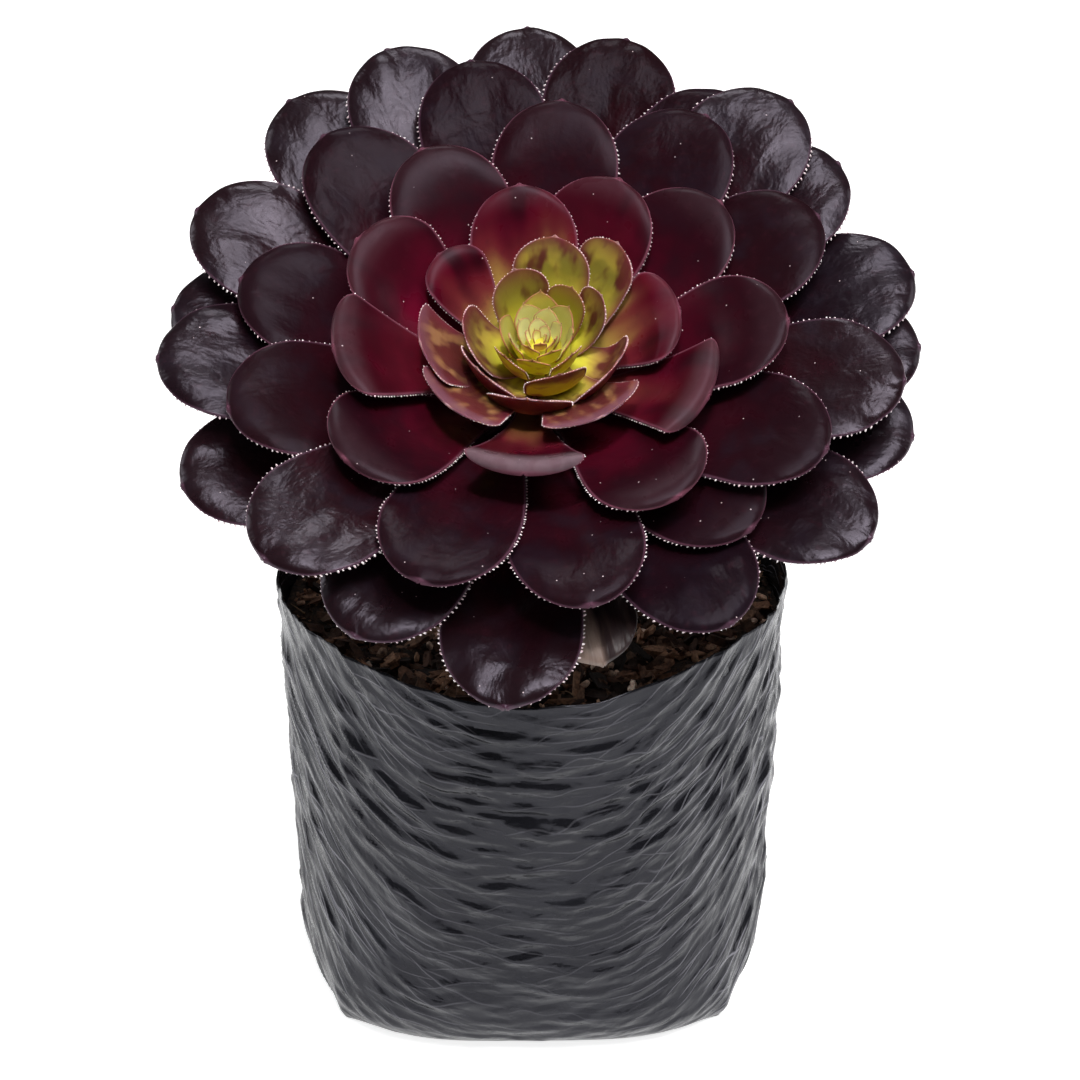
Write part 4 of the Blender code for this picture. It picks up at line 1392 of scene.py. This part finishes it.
def place_light(name, light, place, target, mirrored):
    item = new_object(name, light)
    item.location = place
    item.rotation_euler = (Vector(target) - Vector(place)).to_track_quat("-Z", "Y").to_euler()
    item.visible_glossy = mirrored


def add_lights():
    for name, place, size, power, mirrored in AREA_LIGHTS:
        light = bpy.data.lights.new(name, "AREA")
        light.shape = "RECTANGLE"
        light.size, light.size_y = size
        light.energy = power
        place_light(name, light, place, LIGHT_TARGET, mirrored)
    spot = bpy.data.lights.new("heart_spot", "SPOT")
    spot.energy = HEART_SPOT_POWER
    spot.spot_size = math.radians(HEART_SPOT_ANGLE)
    spot.spot_blend = 0.9
    spot.shadow_soft_size = 0.08
    place_light("heart_spot", spot, HEART_SPOT_PLACE, HEART_SPOT_TARGET, False)
    world = bpy.data.worlds.new("studio")
    world.use_nodes = True
    back = world.node_tree.nodes["Background"]
    back.inputs["Color"].default_value = (1.0, 1.0, 1.0, 1.0)
    back.inputs["Strength"].default_value = WORLD_STRENGTH
    bpy.context.scene.world = world


def add_camera(stage):
    camera = bpy.data.cameras.new("camera")
    camera.lens = stage.camera_lens
    camera.sensor_width = 36.0
    camera.clip_start = 0.01
    item = new_object("camera", camera)
    rise = stage.camera_elevation
    back = Vector((0.0, -math.cos(rise), math.sin(rise)))
    item.location = Vector(CAMERA_TARGET) + stage.camera_distance * back
    item.rotation_euler = (0.5 * math.pi - rise, 0.0, 0.0)
    bpy.context.scene.camera = item


class AEONIUM_OT_stage(bpy.types.Operator):
    """Makes the pale floor, the soft lights and the camera"""
    bl_idname = "aeonium.stage"
    bl_label = "Stage"
    bl_options = {"REGISTER", "UNDO"}

    def execute(self, context):
        stage = context.scene.aeonium_stage
        deselect_all()
        bpy.ops.mesh.primitive_plane_add(size=FLOOR_SIZE, location=(0.0, 0.0, 0.0))
        floor = context.active_object
        floor.name = "floor"
        floor.data.materials.append(floor_material(stage))
        add_lights()
        add_camera(stage)
        context.scene.view_settings.view_transform = "Standard"
        return {"FINISHED"}


class AEONIUM_PT_panel(bpy.types.Panel):
    """Lists the pieces of the potted aeonium"""
    bl_idname = "AEONIUM_PT_panel"
    bl_label = "Potted aeonium"
    bl_space_type = "VIEW_3D"
    bl_region_type = "UI"
    bl_category = "Aeonium"

    def draw(self, context):
        for operator in PIECES:
            self.layout.operator(operator.bl_idname)
        for name in SETTINGS:
            group = getattr(context.scene, name)
            for key in group.__annotations__:
                self.layout.prop(group, key)


PIECES = (
    AEONIUM_OT_grow_bag, AEONIUM_OT_soil, AEONIUM_OT_soil_cover, AEONIUM_OT_stalk,
    AEONIUM_OT_large_leaves, AEONIUM_OT_heart, AEONIUM_OT_stage,
)
SETTINGS = {
    "aeonium_leaves": LeafSettings, "aeonium_bag": BagSettings,
    "aeonium_soil": SoilSettings, "aeonium_stage": StageSettings,
}


def register():
    for group in SETTINGS.values():
        bpy.utils.register_class(group)
    for name, group in SETTINGS.items():
        setattr(bpy.types.Scene, name, PointerProperty(type=group))
    for item in PIECES + (AEONIUM_PT_panel,):
        bpy.utils.register_class(item)


def unregister():
    for item in reversed(PIECES + (AEONIUM_PT_panel,)):
        bpy.utils.unregister_class(item)
    for name, group in SETTINGS.items():
        delattr(bpy.types.Scene, name)
        bpy.utils.unregister_class(group)


def main():
    register()
    bpy.ops.aeonium.grow_bag()
    bpy.ops.aeonium.soil()
    bpy.ops.aeonium.soil_cover()
    bpy.ops.aeonium.stalk()
    bpy.ops.aeonium.large_leaves()
    bpy.ops.aeonium.heart()
    bpy.ops.aeonium.stage()


if __name__ == "__main__":
    main()
